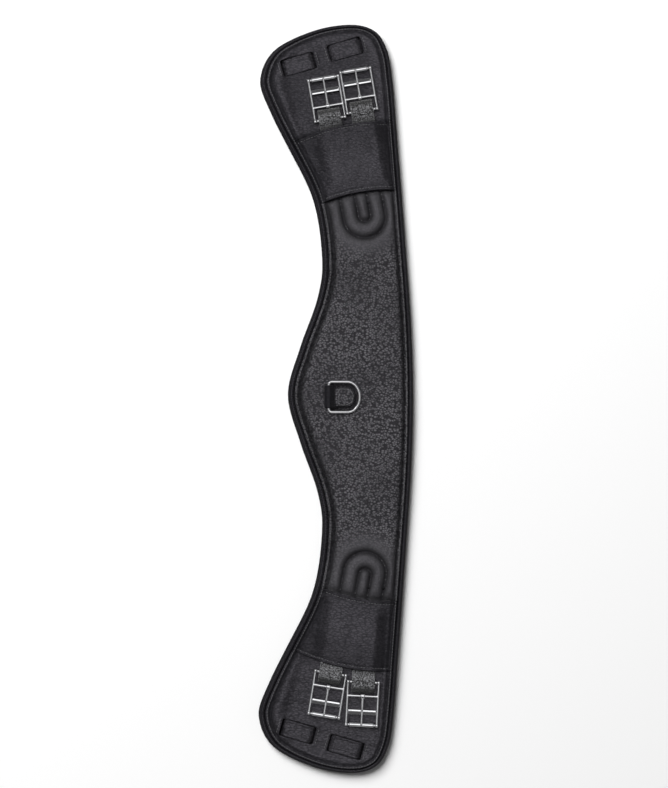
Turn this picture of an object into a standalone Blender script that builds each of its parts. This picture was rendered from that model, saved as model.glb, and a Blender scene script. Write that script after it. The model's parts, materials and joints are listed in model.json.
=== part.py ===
"""A short anatomic saddle girth, lying face up on its lining.

Units are metres, +Z is up and the girth runs along Y, with the origin under its middle. The "near"
end is +Y and the "off" end is -Y. The "front" edge, with the bulge, is -X and the "rear" edge is +X.
Lengths below are in millimetres and are turned into metres as the meshes are made.
"""

import math

import bmesh
import bpy
import numpy as np
from mathutils import Matrix, Vector

MM = 0.001

# Half of the outline, from the middle of the front bulge round the near tip to the rear edge.
# The other half is its mirror image.
HALF_OUTLINE = [
    (-48.3, 0.0),
    (-36.0, 47.8),
    (-18.3, 98.6),
    (-13.8, 139.3),
    (-23.4, 200.3),
    (-52.8, 261.4),
    (-67.7, 291.9),
    (-77.2, 322.4),
    (-63.2, 352.9),
    (-23.9, 373.2),
    (15.0, 380.0),
    (40.4, 373.2),
    (53.0, 352.9),
    (58.1, 322.4),
    (63.0, 261.4),
    (69.9, 169.8),
    (76.4, 75.0),
    (78.5, 0.0),
]
OUTLINE_STEPS = 56  # points kept on each half outline
TURN_LENGTH = 60.0  # a full radian of turning draws as many points as this length
EDGE_END = 330.0  # the front and rear edges run this far from the middle, then the tips turn
SHARP_ANGLE = 40.0
CUT_MARGIN = 2.0  # how far a cutter runs past each end of what it cuts

# Finish of each layer: colour, roughness and how metallic it is.
COLORS = {
    "lining_leather": ((0.018, 0.018, 0.021), 0.50, 0.0),
    "front_leather": ((0.022, 0.022, 0.026), 0.45, 0.0),
    "cover_leather": ((0.020, 0.019, 0.025), 0.38, 0.0),
    "strap_elastic": ((0.030, 0.030, 0.033), 0.65, 0.0),
    "foam": ((0.10, 0.10, 0.11), 0.90, 0.0),
    "webbing": ((0.05, 0.05, 0.055), 0.80, 0.0),
    "stainless_steel": ((0.72, 0.72, 0.74), 0.18, 1.0),
}

# Heights of the layers.
LINING = 2.0
FOAM_TOP = 7.3
CLEARANCE = 0.3
BACKING_BOTTOM = 7.6
BACKING_TOP = 9.0
WEB_TOP = 8.8
FRONT_BOTTOM = 9.1
FRONT_SEAM_TOP = 10.6
FRONT_CROWN = 14.8
LEATHER = 1.4
RIM_HEIGHT = 10.8

# The rim's width against the front edge's: its mean, what the front edge adds and what the tips lose.
RIM_MEAN = 0.86
RIM_FRONT = 0.14
RIM_TIP = 0.24

# The rolled rim, as inset from the outline and height. Insets are those of the front edge.
RIM_OUTER = [(4.0, 0.0), (1.2, 1.3), (0.0, 5.5), (1.0, 9.0), (3.4, 10.8), (5.6, 10.2), (7.4, 9.6)]
RIM_INNER = [(7.4, 7.6), (4.4, 8.2), (2.4, 5.2), (3.5, 2.7), (5.2, 2.0)]
SEAM_INSET = 7.9

# The padding inside the rim, as inset and height, from its bottom to its top.
FOAM_RINGS = [(5.6, LINING + CLEARANCE), (3.2, 4.2), (3.2, 5.8), (5.0, FOAM_TOP)]

# The strap cover's edges are shallow arcs: x of the apex, y of the apex, curvature.
COVER_MOUTH = (48.0, 278.6, 0.00255)
COVER_ROOT = (54.0, 210.0, 0.0030)
COVER_GAP = 0.4
COVER_STEPS = (8, 14)  # quads out from the root and across
COVER_FRONT_SLOPE = (2.0, 11.0)  # where the rise over the straps starts from the edge, and its width
COVER_REAR_SLOPE = (1.0, 7.0)
COVER_ROOT_SLOPE = 0.16  # share of the cover's depth
POCKET_LINE = 234.0
FACING_START = 240.0  # the facing keeps the outline's own points from here to the tip
WEB_END = 231.0
WEB_INSET = 8.8
ROW_MARGIN = 3.0  # the least gap between an edge's last point and the cover's root

# The centre panel's layers as (inset, distance short of the cover's root, height).
WADDING_RINGS = [(14.8, 5.4, FRONT_BOTTOM), (15.4, 6.0, 11.4), (20.0, 10.6, 12.8)]
FRONT_RINGS = [
    (20.0, 10.4, FRONT_CROWN - LEATHER),
    (14.2, 4.8, 12.1),
    (12.0, 3.6, FRONT_BOTTOM),
    (SEAM_INSET, COVER_GAP, FRONT_BOTTOM),
    (SEAM_INSET, COVER_GAP, FRONT_SEAM_TOP),
    (11.0, 2.4, FRONT_SEAM_TOP),
    (13.6, 4.2, 13.0),
    (20.0, 10.4, FRONT_CROWN),
]

# The patch that holds the straps' inner ends.
TAB_X = (2.0, 46.0)
TAB_Y = (219.0, 230.5)
TAB_TOP = 12.0

# The straps and buckles. Local Y runs along the strap, out towards the tip.
STRAP_WIDTH = 23.0
STRAP_PLY = 1.8
STRAP_BACK = 47.0
BAR_RADIUS = 1.5
LOOP_BORE = BAR_RADIUS + CLEARANCE
LOOP_RADIUS = LOOP_BORE + STRAP_PLY
FOLD_END = 130.0  # degrees up and round the end bar, from straight below it
FOLD_MERGE = 8.0  # behind the bar, where the two plies meet
BAR_HEIGHT = BACKING_TOP + CLEARANCE + LOOP_RADIUS
RAIL_SPACING = 30.6
RAIL_RADIUS = 1.25
RAIL_OVERSHOOT = 0.6
TONGUE_BAR_AT = 13.8
PLATE_AT = 30.0
PLATE_DEPTH = 4.9
PLATE_THICKNESS = 1.2
ROLLER_AT = 42.5
ROLLER_RADIUS = 2.4
ROLLER_BORE = BAR_RADIUS + CLEARANCE
ROLLER_LENGTH = 24.4
END_KNUCKLE_RADIUS = 2.0
ROLLER_KNUCKLE_RADIUS = 2.3
KNUCKLE_HALF = 1.3
TONGUE_RADIUS = 1.15
TONGUE_KNUCKLE_RADIUS = 3.0
TONGUE_KNUCKLE_WIDTH = 4.0
TONGUE_LENGTH = 30.2
TONGUE_TIP_DROP = 0.15
# The tongue's bends short of the roller: distance from its bar, height above it and wire radius.
TONGUE_BENDS = [
    (1.5, 0.9, 1.5),
    (6.0, 1.5, 1.35),
    (13.75, 1.75, TONGUE_RADIUS),
    (22.5, 2.4, TONGUE_RADIUS),
    (26.9, 3.6, TONGUE_RADIUS),
]
TONGUE_TIP_RADII = (1.0, 0.75)

# How many flats stand in for each round section.
BAR_SIDES = 12
TONGUE_SIDES = 10
BORE_SIDES = 16
ROLLER_SIDES = 20

# Where each buckle's end bar is centred, and how far its strap leans towards the front edge.
BUCKLES = {
    "near_front": ((-5.6, 281.0), 9.6),
    "near_rear": ((27.2, 289.5), 9.6),
    "off_front": ((-5.0, -280.2), 9.2),
    "off_rear": ((27.8, -289.2), 2.9),
}

# The billet keepers: centres at the near end, and the slope of their long axis.
KEEPERS = {"front": (-37.9, 338.3), "rear": (10.1, 353.9)}
KEEPER_SLOPE = 16.0
WINDOW = (35.0, 17.0)
WINDOW_CUT = 8.0
KEEPER_BAND = (43.0, 13.2)
KEEPER_CROWN = 9.3
KEEPER_STATIONS = (5.0, 10.5, 14.0, 16.4, 18.0)  # where the band is cut across, each side of its middle
KEEPER_SHOULDER = 17.2  # the band rises out of the window within this distance of its middle
KEEPER_RAMP = 6.0
KEEPER_EDGE = (1.2, 0.3)  # how wide its turned-down edge is, and how deep
POCKET = (44.6, 17.4)
POCKET_FLOOR = 3.9
POCKET_CUT = 10.0

# The D-ring and the leather loop that holds it.
RING_WIRE = 1.5
RING_BAR_X = -7.0
RING_BAR_Y = -3.3
RING_HALF_WIDTH = 15.3
RING_STRAIGHT_END = 12.3
RING_BOW = 12.0
RING_CORNER = 3.2
RING_DROOP = 3.0
RING_PLY = 1.3
RING_LOOP_HALF_WIDTH = 11.8
RING_FOLD_END = -310.0  # degrees round the bar, from straight below it
RING_SHOULDER = (6.4, 8.4)  # where the fold narrows down to the tab, from the bar
RING_SHOULDER_RISE = 0.3
RING_TAB_END = 19.8
RING_TAB_HALF_WIDTHS = (10.0, 8.6)  # past its shoulder, and at its end
RING_SIDES = 10
RING_CORNER_STEPS = 5
RING_BOW_STEPS = 17
RING_BAR_HEIGHT = FRONT_CROWN + CLEARANCE + RING_PLY + CLEARANCE + RING_WIRE


def clear_scene():
    for obj in list(bpy.data.objects):
        bpy.data.objects.remove(obj, do_unlink=True)


def material(name):
    """A plain finish, made once and shared."""
    found = bpy.data.materials.get(name)
    if found:
        return found
    color, roughness, metallic = COLORS[name]
    made = bpy.data.materials.new(name)
    made.use_nodes = True
    shader = made.node_tree.nodes["Principled BSDF"]
    shader.inputs["Base Color"].default_value = (*color, 1.0)
    shader.inputs["Roughness"].default_value = roughness
    shader.inputs["Metallic"].default_value = metallic
    return made


def add_object(name, bm, finish, parent=None):
    """A mesh object from a bmesh held in millimetres, shaded smooth except at its sharp edges."""
    bmesh.ops.recalc_face_normals(bm, faces=bm.faces)
    bmesh.ops.scale(bm, vec=(MM, MM, MM), verts=bm.verts)
    mesh = bpy.data.meshes.new(name)
    bm.to_mesh(mesh)
    bm.free()
    return add_mesh(name, mesh, finish, parent)


def add_mesh(name, mesh, finish, parent=None):
    if not mesh.materials:
        mesh.materials.append(material(finish))
    mesh.shade_smooth()
    mesh.set_sharp_from_angle(angle=math.radians(SHARP_ANGLE))
    obj = bpy.data.objects.new(name, mesh)
    bpy.context.scene.collection.objects.link(obj)
    obj.parent = parent
    return obj


def as_helper(obj):
    obj.hide_render = True
    obj.display_type = "WIRE"
    return obj


def boolean(obj, other, operation):
    modifier = obj.modifiers.new(f"{operation.lower()} {other.name}", "BOOLEAN")
    modifier.operation = operation
    modifier.object = other


def evaluated_mesh(obj):
    graph = bpy.context.evaluated_depsgraph_get()
    return bpy.data.meshes.new_from_object(obj.evaluated_get(graph))


# The outline and the lines that follow it


def smooth_curve(points, steps=24):
    """Catmull-Rom through the points, which carry one extra point at each end."""
    points = np.array(points)
    t = np.linspace(0, 1, steps, endpoint=False)[:, None]
    spans = []
    for a, b, c, d in zip(points, points[1:], points[2:], points[3:]):
        spans.append(
            0.5 * (2 * b + (c - a) * t + (2 * a - 5 * b + 4 * c - d) * t**2 + (3 * b - a - 3 * c + d) * t**3)
        )
    return np.vstack(spans + [points[-2][None]])


def half_outline():
    """The near half of the outline, its points spread by length and by turning."""
    mirror = np.array([1.0, -1.0])
    first = np.array(HALF_OUTLINE[1]) * mirror
    last = np.array(HALF_OUTLINE[-2]) * mirror
    curve = smooth_curve([first, *HALF_OUTLINE, last])
    steps = np.diff(curve, axis=0)
    length = np.hypot(*steps.T)
    heading = np.unwrap(np.arctan2(steps[:, 1], steps[:, 0]))
    turning = np.abs(np.gradient(heading))
    spread = np.concatenate([[0], np.cumsum(length + TURN_LENGTH * turning)])
    wanted = np.linspace(0, spread[-1], OUTLINE_STEPS + 1)
    return np.stack([np.interp(wanted, spread, curve[:, k]) for k in (0, 1)], axis=1)


def outline():
    """The closed outline, its outward normals and how wide the rim is at each point.

    The rim is widest along the front edge, narrower along the rear and narrowest round the tips.
    """
    near = half_outline()
    off = near[-2:0:-1] * [1.0, -1.0]
    points = np.vstack([near, off])
    along = np.roll(points, -1, axis=0) - np.roll(points, 1, axis=0)
    along /= np.hypot(*along.T)[:, None]
    normals = np.stack([-along[:, 1], along[:, 0]], axis=1)
    rim = RIM_MEAN - RIM_FRONT * normals[:, 0] - RIM_TIP * normals[:, 1] ** 2
    return points, normals, rim


OUTLINE, NORMALS, RIM = outline()


def ring(inset):
    return OUTLINE - NORMALS * (RIM * inset)[:, None]


def edge_x(side, inset, y):
    """x of the inset line at this y, on the front (-1) or rear (+1) edge, well short of the tips."""
    points = ring(inset)
    keep = (np.sign(NORMALS[:, 0]) == side) & (np.abs(OUTLINE[:, 1]) < EDGE_END)
    chosen = points[keep]
    order = np.argsort(chosen[:, 1])
    return float(np.interp(y, chosen[order, 1], chosen[order, 0]))


def arc_y(arc, x):
    apex_x, apex_y, curvature = arc
    return apex_y - curvature * (x - apex_x) ** 2


def arc_meets_edge(arc, side, inset, shift=0.0):
    """The y at which an arc, moved out by shift, crosses the inset line."""
    y = arc[1]
    for _ in range(12):
        y = arc_y(arc, edge_x(side, inset, y)) + shift
    return y


# Solids


def stack(name, rings, finish):
    """A closed skin through rings of points, each with a height, capped at both ends."""
    bm = bmesh.new()
    loops = [[bm.verts.new((x, y, z)) for x, y in points] for points, z in rings]
    count = len(loops[0])
    for lower, upper in zip(loops, loops[1:]):
        for i in range(count):
            j = (i + 1) % count
            bm.faces.new((lower[i], lower[j], upper[j], upper[i]))
    bm.faces.new(loops[0])
    bm.faces.new(loops[-1])
    return add_object(name, bm, finish)


def sheet(name, places, bottom, top, finish, parent=None):
    """A closed sheet over a grid of places, with a bottom and a top height at each."""
    bm = bmesh.new()
    rows, columns = places.shape[:2]

    def layer(heights):
        return [
            [bm.verts.new((*places[i, j], heights[i, j])) for j in range(columns)]
            for i in range(rows)
        ]

    low, high = layer(bottom), layer(top)
    for i in range(rows - 1):
        for j in range(columns - 1):
            bm.faces.new((low[i][j], low[i][j + 1], low[i + 1][j + 1], low[i + 1][j]))
            bm.faces.new((high[i][j], high[i + 1][j], high[i + 1][j + 1], high[i][j + 1]))
    border = [(0, j) for j in range(columns)]
    border += [(i, columns - 1) for i in range(1, rows)]
    border += [(rows - 1, j) for j in range(columns - 2, -1, -1)]
    border += [(i, 0) for i in range(rows - 2, 0, -1)]
    for (a, b), (c, d) in zip(border, border[1:] + border[:1]):
        bm.faces.new((low[a][b], low[c][d], high[c][d], high[a][b]))
    return add_object(name, bm, finish, parent)


def plate(name, points, bottom, top, finish):
    return stack(name, [(points, bottom), (points, top)], finish)


def box(name, size, centre, finish, parent=None):
    bm = bmesh.new()
    bmesh.ops.create_cube(bm, size=1.0)
    bmesh.ops.scale(bm, vec=size, verts=bm.verts)
    bmesh.ops.translate(bm, vec=centre, verts=bm.verts)
    return add_object(name, bm, finish, parent)


def rod(name, path, radii, finish, segments=BAR_SIDES, closed=False, parent=None):
    """A round bar along a path that stays in one plane, with flat ends unless it closes."""
    bm = bmesh.new()
    path = [Vector(p) for p in path]
    count = len(path)
    loops = []
    for i, place in enumerate(path):
        before = path[i - 1] if closed or i else path[0]
        after = path[(i + 1) % count] if closed or i < count - 1 else path[-1]
        forward = (after - before).normalized()
        side = forward.cross(Vector((0, 0, 1)))
        if side.length < 0.5:
            side = forward.cross(Vector((1, 0, 0)))
        side.normalize()
        up = side.cross(forward)
        loop = []
        for k in range(segments):
            angle = 2 * math.pi * (k + 0.5) / segments
            offset = side * math.cos(angle) + up * math.sin(angle)
            loop.append(bm.verts.new(place + offset * radii[i]))
        loops.append(loop)
    pairs = list(zip(loops, loops[1:]))
    if closed:
        pairs.append((loops[-1], loops[0]))
    else:
        bm.faces.new(loops[0])
        bm.faces.new(loops[-1])
    for one, other in pairs:
        for k in range(segments):
            m = (k + 1) % segments
            bm.faces.new((one[k], one[m], other[m], other[k]))
    return add_object(name, bm, finish, parent)


def across(name, radius, width, at, finish, segments=BAR_SIDES):
    """A cylinder across the strap, centred on the local Y-Z point at."""
    y, z = at
    path = [(-width / 2, y, z), (width / 2, y, z)]
    return rod(name, path, [radius, radius], finish, segments)


# The padded body


def make_lining():
    rings = [(ring(inset), z) for inset, z in RIM_OUTER + RIM_INNER]
    stack("lining_leather", rings, "lining_leather")


def edge_line(side, inset, reach):
    """Points of one edge from -reach to reach: the outline's own, so that neighbours stay parallel."""
    line = ring(SEAM_INSET)
    seam_reach = arc_meets_edge(COVER_ROOT, side, SEAM_INSET, -COVER_GAP)
    chosen = (np.sign(NORMALS[:, 0]) == side) & (np.abs(line[:, 1]) < seam_reach - ROW_MARGIN)
    ys = np.sort(line[chosen, 1]) * reach / seam_reach
    return [(edge_x(side, inset, y), y) for y in (-reach, *ys, reach)]


def strip_ring(inset, end_inset, end_steps=6):
    """The centre panel's outline: both edges, and an arc across each end under the cover's root."""
    front, rear = (
        edge_line(side, inset, arc_meets_edge(COVER_ROOT, side, inset, -end_inset))
        for side in (-1, 1)
    )
    xs = np.linspace(front[-1][0], rear[-1][0], end_steps)[1:-1]
    near = [(x, arc_y(COVER_ROOT, x) - end_inset) for x in xs]
    off = [(x, -y) for x, y in near[::-1]]
    return np.array(front + near + rear[::-1] + off)


def make_centre():
    """Web, wadding and the pebbled front leather, which dips to its stitched edge."""
    front, rear = (edge_line(side, WEB_INSET, WEB_END) for side in (-1, 1))
    plate("load_web", front + rear[::-1], BACKING_BOTTOM, WEB_TOP, "webbing")
    stack("front_wadding", [(strip_ring(i, e), z) for i, e, z in WADDING_RINGS], "foam")
    stack("front_leather", [(strip_ring(i, e), z) for i, e, z in FRONT_RINGS], "front_leather")


def keeper_matrix(name, end):
    """Where a keeper lies: its long axis rises towards the rear edge at the near end."""
    x, y = KEEPERS[name]
    sign = 1 if end == "near" else -1
    turn = Matrix.Rotation(math.radians(KEEPER_SLOPE * sign), 4, "Z")
    return Matrix.Translation(Vector((x, y * sign, 0)) * MM) @ turn


def make_foam():
    """The padding, with a pocket under each keeper for the billet's end."""
    foam = stack("foam_padding", [(ring(i), z) for i, z in FOAM_RINGS], "foam")
    for end in ("near", "off"):
        for name in KEEPERS:
            size = (*POCKET, POCKET_CUT)
            centre = (0, 0, POCKET_FLOOR + POCKET_CUT / 2)
            cutter = as_helper(box(f"{end}_{name}_pocket_cutter", size, centre, "foam"))
            cutter.matrix_world = keeper_matrix(name, end)
            boolean(foam, cutter, "DIFFERENCE")


def make_end_facing(end):
    """The smooth leather of one end, from inside the strap pocket to the tip, with two windows."""
    sign = 1 if end == "near" else -1
    points = ring(SEAM_INSET)
    kept = points[points[:, 1] * sign > FACING_START]
    start = int(np.argmax(np.hypot(*np.diff(kept, axis=0, append=kept[:1]).T))) + 1
    kept = np.roll(kept, -start, axis=0)
    corners = [(edge_x(side, SEAM_INSET, sign * POCKET_LINE), sign * POCKET_LINE) for side in (-1, 1)]
    if np.hypot(*(kept[0] - corners[0])) > np.hypot(*(kept[0] - corners[1])):
        corners.reverse()
    around = np.vstack([corners[:1], kept, corners[1:]])
    facing = plate(f"{end}_end_facing", around, BACKING_BOTTOM, BACKING_TOP, "cover_leather")
    for name in KEEPERS:
        size = (*WINDOW, WINDOW_CUT)
        cutter = box(f"{end}_{name}_window_cutter", size, (0, 0, BACKING_TOP), "foam")
        as_helper(cutter).matrix_world = keeper_matrix(name, end)
        boolean(facing, cutter, "DIFFERENCE")


def smooth_step(value):
    value = np.clip(value, 0, 1)
    return value * value * (3 - 2 * value)


def make_keeper(end, name):
    """A leather band arched over its window, its ends tucked under the facing."""
    length, depth = KEEPER_BAND
    edge, drop = KEEPER_EDGE
    outer = [*KEEPER_STATIONS, length / 2]
    along = np.array([-x for x in outer[::-1]] + [0.0] + outer)
    over = np.array([-depth / 2, -depth / 2 + edge, 0.0, depth / 2 - edge, depth / 2])
    places = np.stack(np.meshgrid(along, over, indexing="ij"), axis=2)
    under = FOAM_TOP - CLEARANCE
    rise = smooth_step((KEEPER_SHOULDER - np.abs(along)) / KEEPER_RAMP)
    top = np.repeat((under + (KEEPER_CROWN - under) * rise)[:, None], len(over), axis=1)
    top[:, [0, -1]] -= drop
    keeper = sheet(f"{end}_{name}_keeper", places, top - LEATHER, top, "cover_leather")
    keeper.matrix_world = keeper_matrix(name, end)


def make_strap_cover(end):
    """The leather over the straps: stitched down at both edges and its root, open at its mouth."""
    sign = 1 if end == "near" else -1
    out_steps, across_steps = COVER_STEPS
    (front_start, front_width), (rear_start, rear_width) = COVER_FRONT_SLOPE, COVER_REAR_SLOPE
    places = np.zeros((out_steps + 1, across_steps + 1, 2))
    rise = np.zeros(places.shape[:2])
    reach = {
        side: (
            arc_meets_edge(COVER_ROOT, side, SEAM_INSET),
            arc_meets_edge(COVER_MOUTH, side, SEAM_INSET),
        )
        for side in (-1, 1)
    }
    for i in range(out_steps + 1):
        out = i / out_steps
        x_front, x_rear = (
            edge_x(side, SEAM_INSET, reach[side][0] * (1 - out) + reach[side][1] * out)
            for side in (-1, 1)
        )
        for j in range(across_steps + 1):
            x = x_front + (x_rear - x_front) * j / across_steps
            y = arc_y(COVER_ROOT, x) * (1 - out) + arc_y(COVER_MOUTH, x) * out
            places[i, j] = (x, y * sign)
            front = smooth_step((x - x_front - front_start) / front_width)
            rear = smooth_step((x_rear - x - rear_start) / rear_width)
            rise[i, j] = front * rear * smooth_step(out / COVER_ROOT_SLOPE)
    seam_bottom = BACKING_TOP + CLEARANCE
    crown_bottom = seam_bottom + 2 * STRAP_PLY + 2 * CLEARANCE
    bottom = seam_bottom + (crown_bottom - seam_bottom) * rise
    sheet(f"{end}_strap_cover", places, bottom, bottom + LEATHER, "cover_leather")


def make_anchor_tab(end):
    """The patch that joins the straps' inner ends to the web, hidden under the cover's root."""
    sign = 1 if end == "near" else -1
    (front, rear), (low, high) = TAB_X, TAB_Y
    points = [(front, low), (front, high), (rear, high), (rear, low)]
    points = [(x, y * sign) for x, y in points]
    plate(f"{end}_anchor_tab", points, FRONT_BOTTOM, TAB_TOP, "webbing")


# The buckles


def strap_mesh():
    """Two plies of elastic that fold round the end bar, in the buckle's own axes."""
    bottom = -LOOP_RADIUS
    angles = np.radians(np.linspace(-90, FOLD_END, 12))
    curve = [(LOOP_RADIUS * math.cos(a), LOOP_RADIUS * math.sin(a)) for a in angles]
    profile = [(-STRAP_BACK, bottom), *curve, (-FOLD_MERGE, bottom + 2 * STRAP_PLY)]
    profile.append((-STRAP_BACK, bottom + 2 * STRAP_PLY))
    half = STRAP_WIDTH / 2
    bm = bmesh.new()
    loops = [[bm.verts.new((x, y, z)) for y, z in profile] for x in (-half, half)]
    bm.faces.new(loops[0])
    bm.faces.new(loops[1])
    for i in range(len(profile)):
        j = (i + 1) % len(profile)
        bm.faces.new((loops[0][i], loops[0][j], loops[1][j], loops[1][i]))
    strap = as_helper(add_object("strap_blank", bm, "strap_elastic"))
    bore_width = STRAP_WIDTH + 2 * CUT_MARGIN
    bore = as_helper(across("strap_bore", LOOP_BORE, bore_width, (0, 0), "foam", BORE_SIDES))
    boolean(strap, bore, "DIFFERENCE")
    return evaluated_mesh(strap)


def frame_mesh():
    """Two rails joined by the end bar, the tongue bar, a flat cross plate and the roller bar."""
    half = RAIL_SPACING / 2
    steel = "stainless_steel"
    frame = as_helper(across("end_bar", BAR_RADIUS, RAIL_SPACING, (0, 0), steel))
    pieces = [
        across("tongue_bar", BAR_RADIUS, RAIL_SPACING, (TONGUE_BAR_AT, 0), steel),
        across("roller_bar", BAR_RADIUS, RAIL_SPACING, (ROLLER_AT, 0), steel),
        box(
            "cross_plate",
            (RAIL_SPACING, PLATE_DEPTH, PLATE_THICKNESS),
            (0, PLATE_AT, -PLATE_THICKNESS / 2),
            steel,
        ),
    ]
    for side in (-1, 1):
        ends = [(side * half, -RAIL_OVERSHOOT, 0), (side * half, ROLLER_AT + RAIL_OVERSHOOT, 0)]
        pieces.append(rod(f"rail_{side}", ends, [RAIL_RADIUS] * 2, steel))
        for at, radius in ((0.0, END_KNUCKLE_RADIUS), (ROLLER_AT, ROLLER_KNUCKLE_RADIUS)):
            faces = [(side * half + x, at, 0) for x in (-KNUCKLE_HALF, KNUCKLE_HALF)]
            pieces.append(rod(f"knuckle_{side}_{at}", faces, [radius] * 2, steel))
    for piece in pieces:
        boolean(frame, as_helper(piece), "UNION")
    return evaluated_mesh(frame)


def tongue_mesh():
    """A bent round tongue with its knuckle, whose bore is centred on the tongue bar."""
    rest = ROLLER_RADIUS + CLEARANCE + TONGUE_RADIUS
    path = [(0, y, z) for y, z, _ in TONGUE_BENDS]
    path += [(0, ROLLER_AT - TONGUE_BAR_AT, rest), (0, TONGUE_LENGTH, rest - TONGUE_TIP_DROP)]
    radii = [radius for _, _, radius in TONGUE_BENDS] + list(TONGUE_TIP_RADII)
    steel = "stainless_steel"
    tongue = as_helper(rod("tongue_blank", path, radii, steel, TONGUE_SIDES))
    width = TONGUE_KNUCKLE_WIDTH
    boss = across("tongue_boss", TONGUE_KNUCKLE_RADIUS, width, (0, 0), steel, BORE_SIDES)
    bore_width = width + 2 * CUT_MARGIN
    bore = across("tongue_bore", BAR_RADIUS + CLEARANCE, bore_width, (0, 0), steel, BORE_SIDES)
    boolean(tongue, as_helper(boss), "UNION")
    boolean(tongue, as_helper(bore), "DIFFERENCE")
    return evaluated_mesh(tongue)


def roller_mesh():
    steel = "stainless_steel"
    roller = across("roller_blank", ROLLER_RADIUS, ROLLER_LENGTH, (0, 0), steel, ROLLER_SIDES)
    bore_width = ROLLER_LENGTH + 2 * CUT_MARGIN
    bore = across("roller_bore", ROLLER_BORE, bore_width, (0, 0), steel, BORE_SIDES)
    as_helper(roller)
    boolean(roller, as_helper(bore), "DIFFERENCE")
    return evaluated_mesh(roller)


def axis_empty(name, place, parent=None):
    empty = bpy.data.objects.new(name, None)
    bpy.context.scene.collection.objects.link(empty)
    empty.parent = parent
    empty.location = Vector(place) * MM
    return empty


def make_buckles():
    """Four alike: each hangs from an empty on its end bar's axis, turned along its strap."""
    strap, frame, tongue, roller = strap_mesh(), frame_mesh(), tongue_mesh(), roller_mesh()
    for name, ((x, y), lean) in BUCKLES.items():
        bar = axis_empty(f"{name}_end_bar_axis", (x, y, BAR_HEIGHT))
        turn = lean if y > 0 else 180 - lean
        bar.rotation_euler = (0, 0, math.radians(turn))
        add_mesh(f"{name}_buckle_strap", strap, "strap_elastic", bar)
        add_mesh(f"{name}_buckle_frame", frame, "stainless_steel", bar)
        tongue_axis = axis_empty(f"{name}_tongue_axis", (0, TONGUE_BAR_AT, 0), bar)
        add_mesh(f"{name}_buckle_tongue", tongue, "stainless_steel", tongue_axis)
        roller_axis = axis_empty(f"{name}_roller_axis", (0, ROLLER_AT, 0), bar)
        add_mesh(f"{name}_buckle_roller", roller, "stainless_steel", roller_axis)


# The D-ring


def arc_points(centre, radius, start, end, steps):
    angles = np.radians(np.linspace(start, end, steps))
    return [(centre[0] + radius * math.cos(a), centre[1] + radius * math.sin(a)) for a in angles]


def make_ring():
    """A round wire bent to a D: a straight bar on the local Y axis and a half-elliptic bow at +X."""
    half, corner = RING_HALF_WIDTH, RING_CORNER
    straight = RING_STRAIGHT_END - RING_BAR_X
    path = arc_points((corner, corner - half), corner, 180, 270, RING_CORNER_STEPS)
    for angle in np.radians(np.linspace(-90, 90, RING_BOW_STEPS)):
        path.append((straight + RING_BOW * math.cos(angle), half * math.sin(angle)))
    path += arc_points((corner, half - corner), corner, 90, 180, RING_CORNER_STEPS)
    wire = [(x, y, 0) for x, y in path]
    axis = axis_empty("d_ring_axis", (RING_BAR_X, RING_BAR_Y, RING_BAR_HEIGHT))
    axis.rotation_euler = (0, math.radians(RING_DROOP), 0)
    radii = [RING_WIRE] * len(wire)
    rod("d_ring", wire, radii, "stainless_steel", RING_SIDES, closed=True, parent=axis)


def make_ring_loop():
    """Leather folded round the D-ring's bar, both ends lying inside the D as one stitched tab."""
    bore = RING_WIRE + CLEARANCE
    outer = bore + RING_PLY
    angles = np.radians(np.linspace(-90, RING_FOLD_END, 12))
    curve = [(outer * math.cos(a), outer * math.sin(a)) for a in angles]
    end = RING_TAB_END - RING_BAR_X
    top = -outer + 2 * RING_PLY
    start, finish = RING_SHOULDER
    profile = [(end, -outer), *curve, (start, top + RING_SHOULDER_RISE), (finish, top), (end, top)]
    bm = bmesh.new()
    widths = []
    for x, _ in profile:
        widths.append(np.interp(x, (start, finish, end), (RING_LOOP_HALF_WIDTH, *RING_TAB_HALF_WIDTHS)))
    loops = [
        [bm.verts.new((x, side * width, z)) for (x, z), width in zip(profile, widths)]
        for side in (-1, 1)
    ]
    bm.faces.new(loops[0])
    bm.faces.new(loops[1])
    for i in range(len(profile)):
        j = (i + 1) % len(profile)
        bm.faces.new((loops[0][i], loops[0][j], loops[1][j], loops[1][i]))
    loop = add_object("d_ring_loop", bm, "front_leather")
    place = Vector((RING_BAR_X, RING_BAR_Y, RING_BAR_HEIGHT)) * MM
    loop.location = place
    length = 2 * (RING_LOOP_HALF_WIDTH + CUT_MARGIN)
    path = [(0, -length / 2, 0), (0, length / 2, 0)]
    cutter = as_helper(rod("ring_bore_cutter", path, [bore] * 2, "foam", BORE_SIDES))
    cutter.location = place
    boolean(loop, cutter, "DIFFERENCE")


clear_scene()
make_lining()
make_foam()
make_centre()
for end in ("near", "off"):
    make_end_facing(end)
    make_anchor_tab(end)
    make_strap_cover(end)
    for keeper in KEEPERS:
        make_keeper(end, keeper)
make_buckles()
make_ring()
make_ring_loop()
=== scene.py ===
"""Looks of the short anatomic saddle girth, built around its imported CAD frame.

Lengths are in millimetres until a mesh is made, in the frame's own axes: +Z up out of the outer
face, +Y to the near end, -X to the bulged front edge. An "inset" is a distance in from the outline
divided by the local width of the rolled rim, which is 1 along the front edge and less elsewhere.
"""

import json
import math

import bmesh
import bpy
import numpy as np
from mathutils import Matrix, Vector, geometry, kdtree


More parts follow.
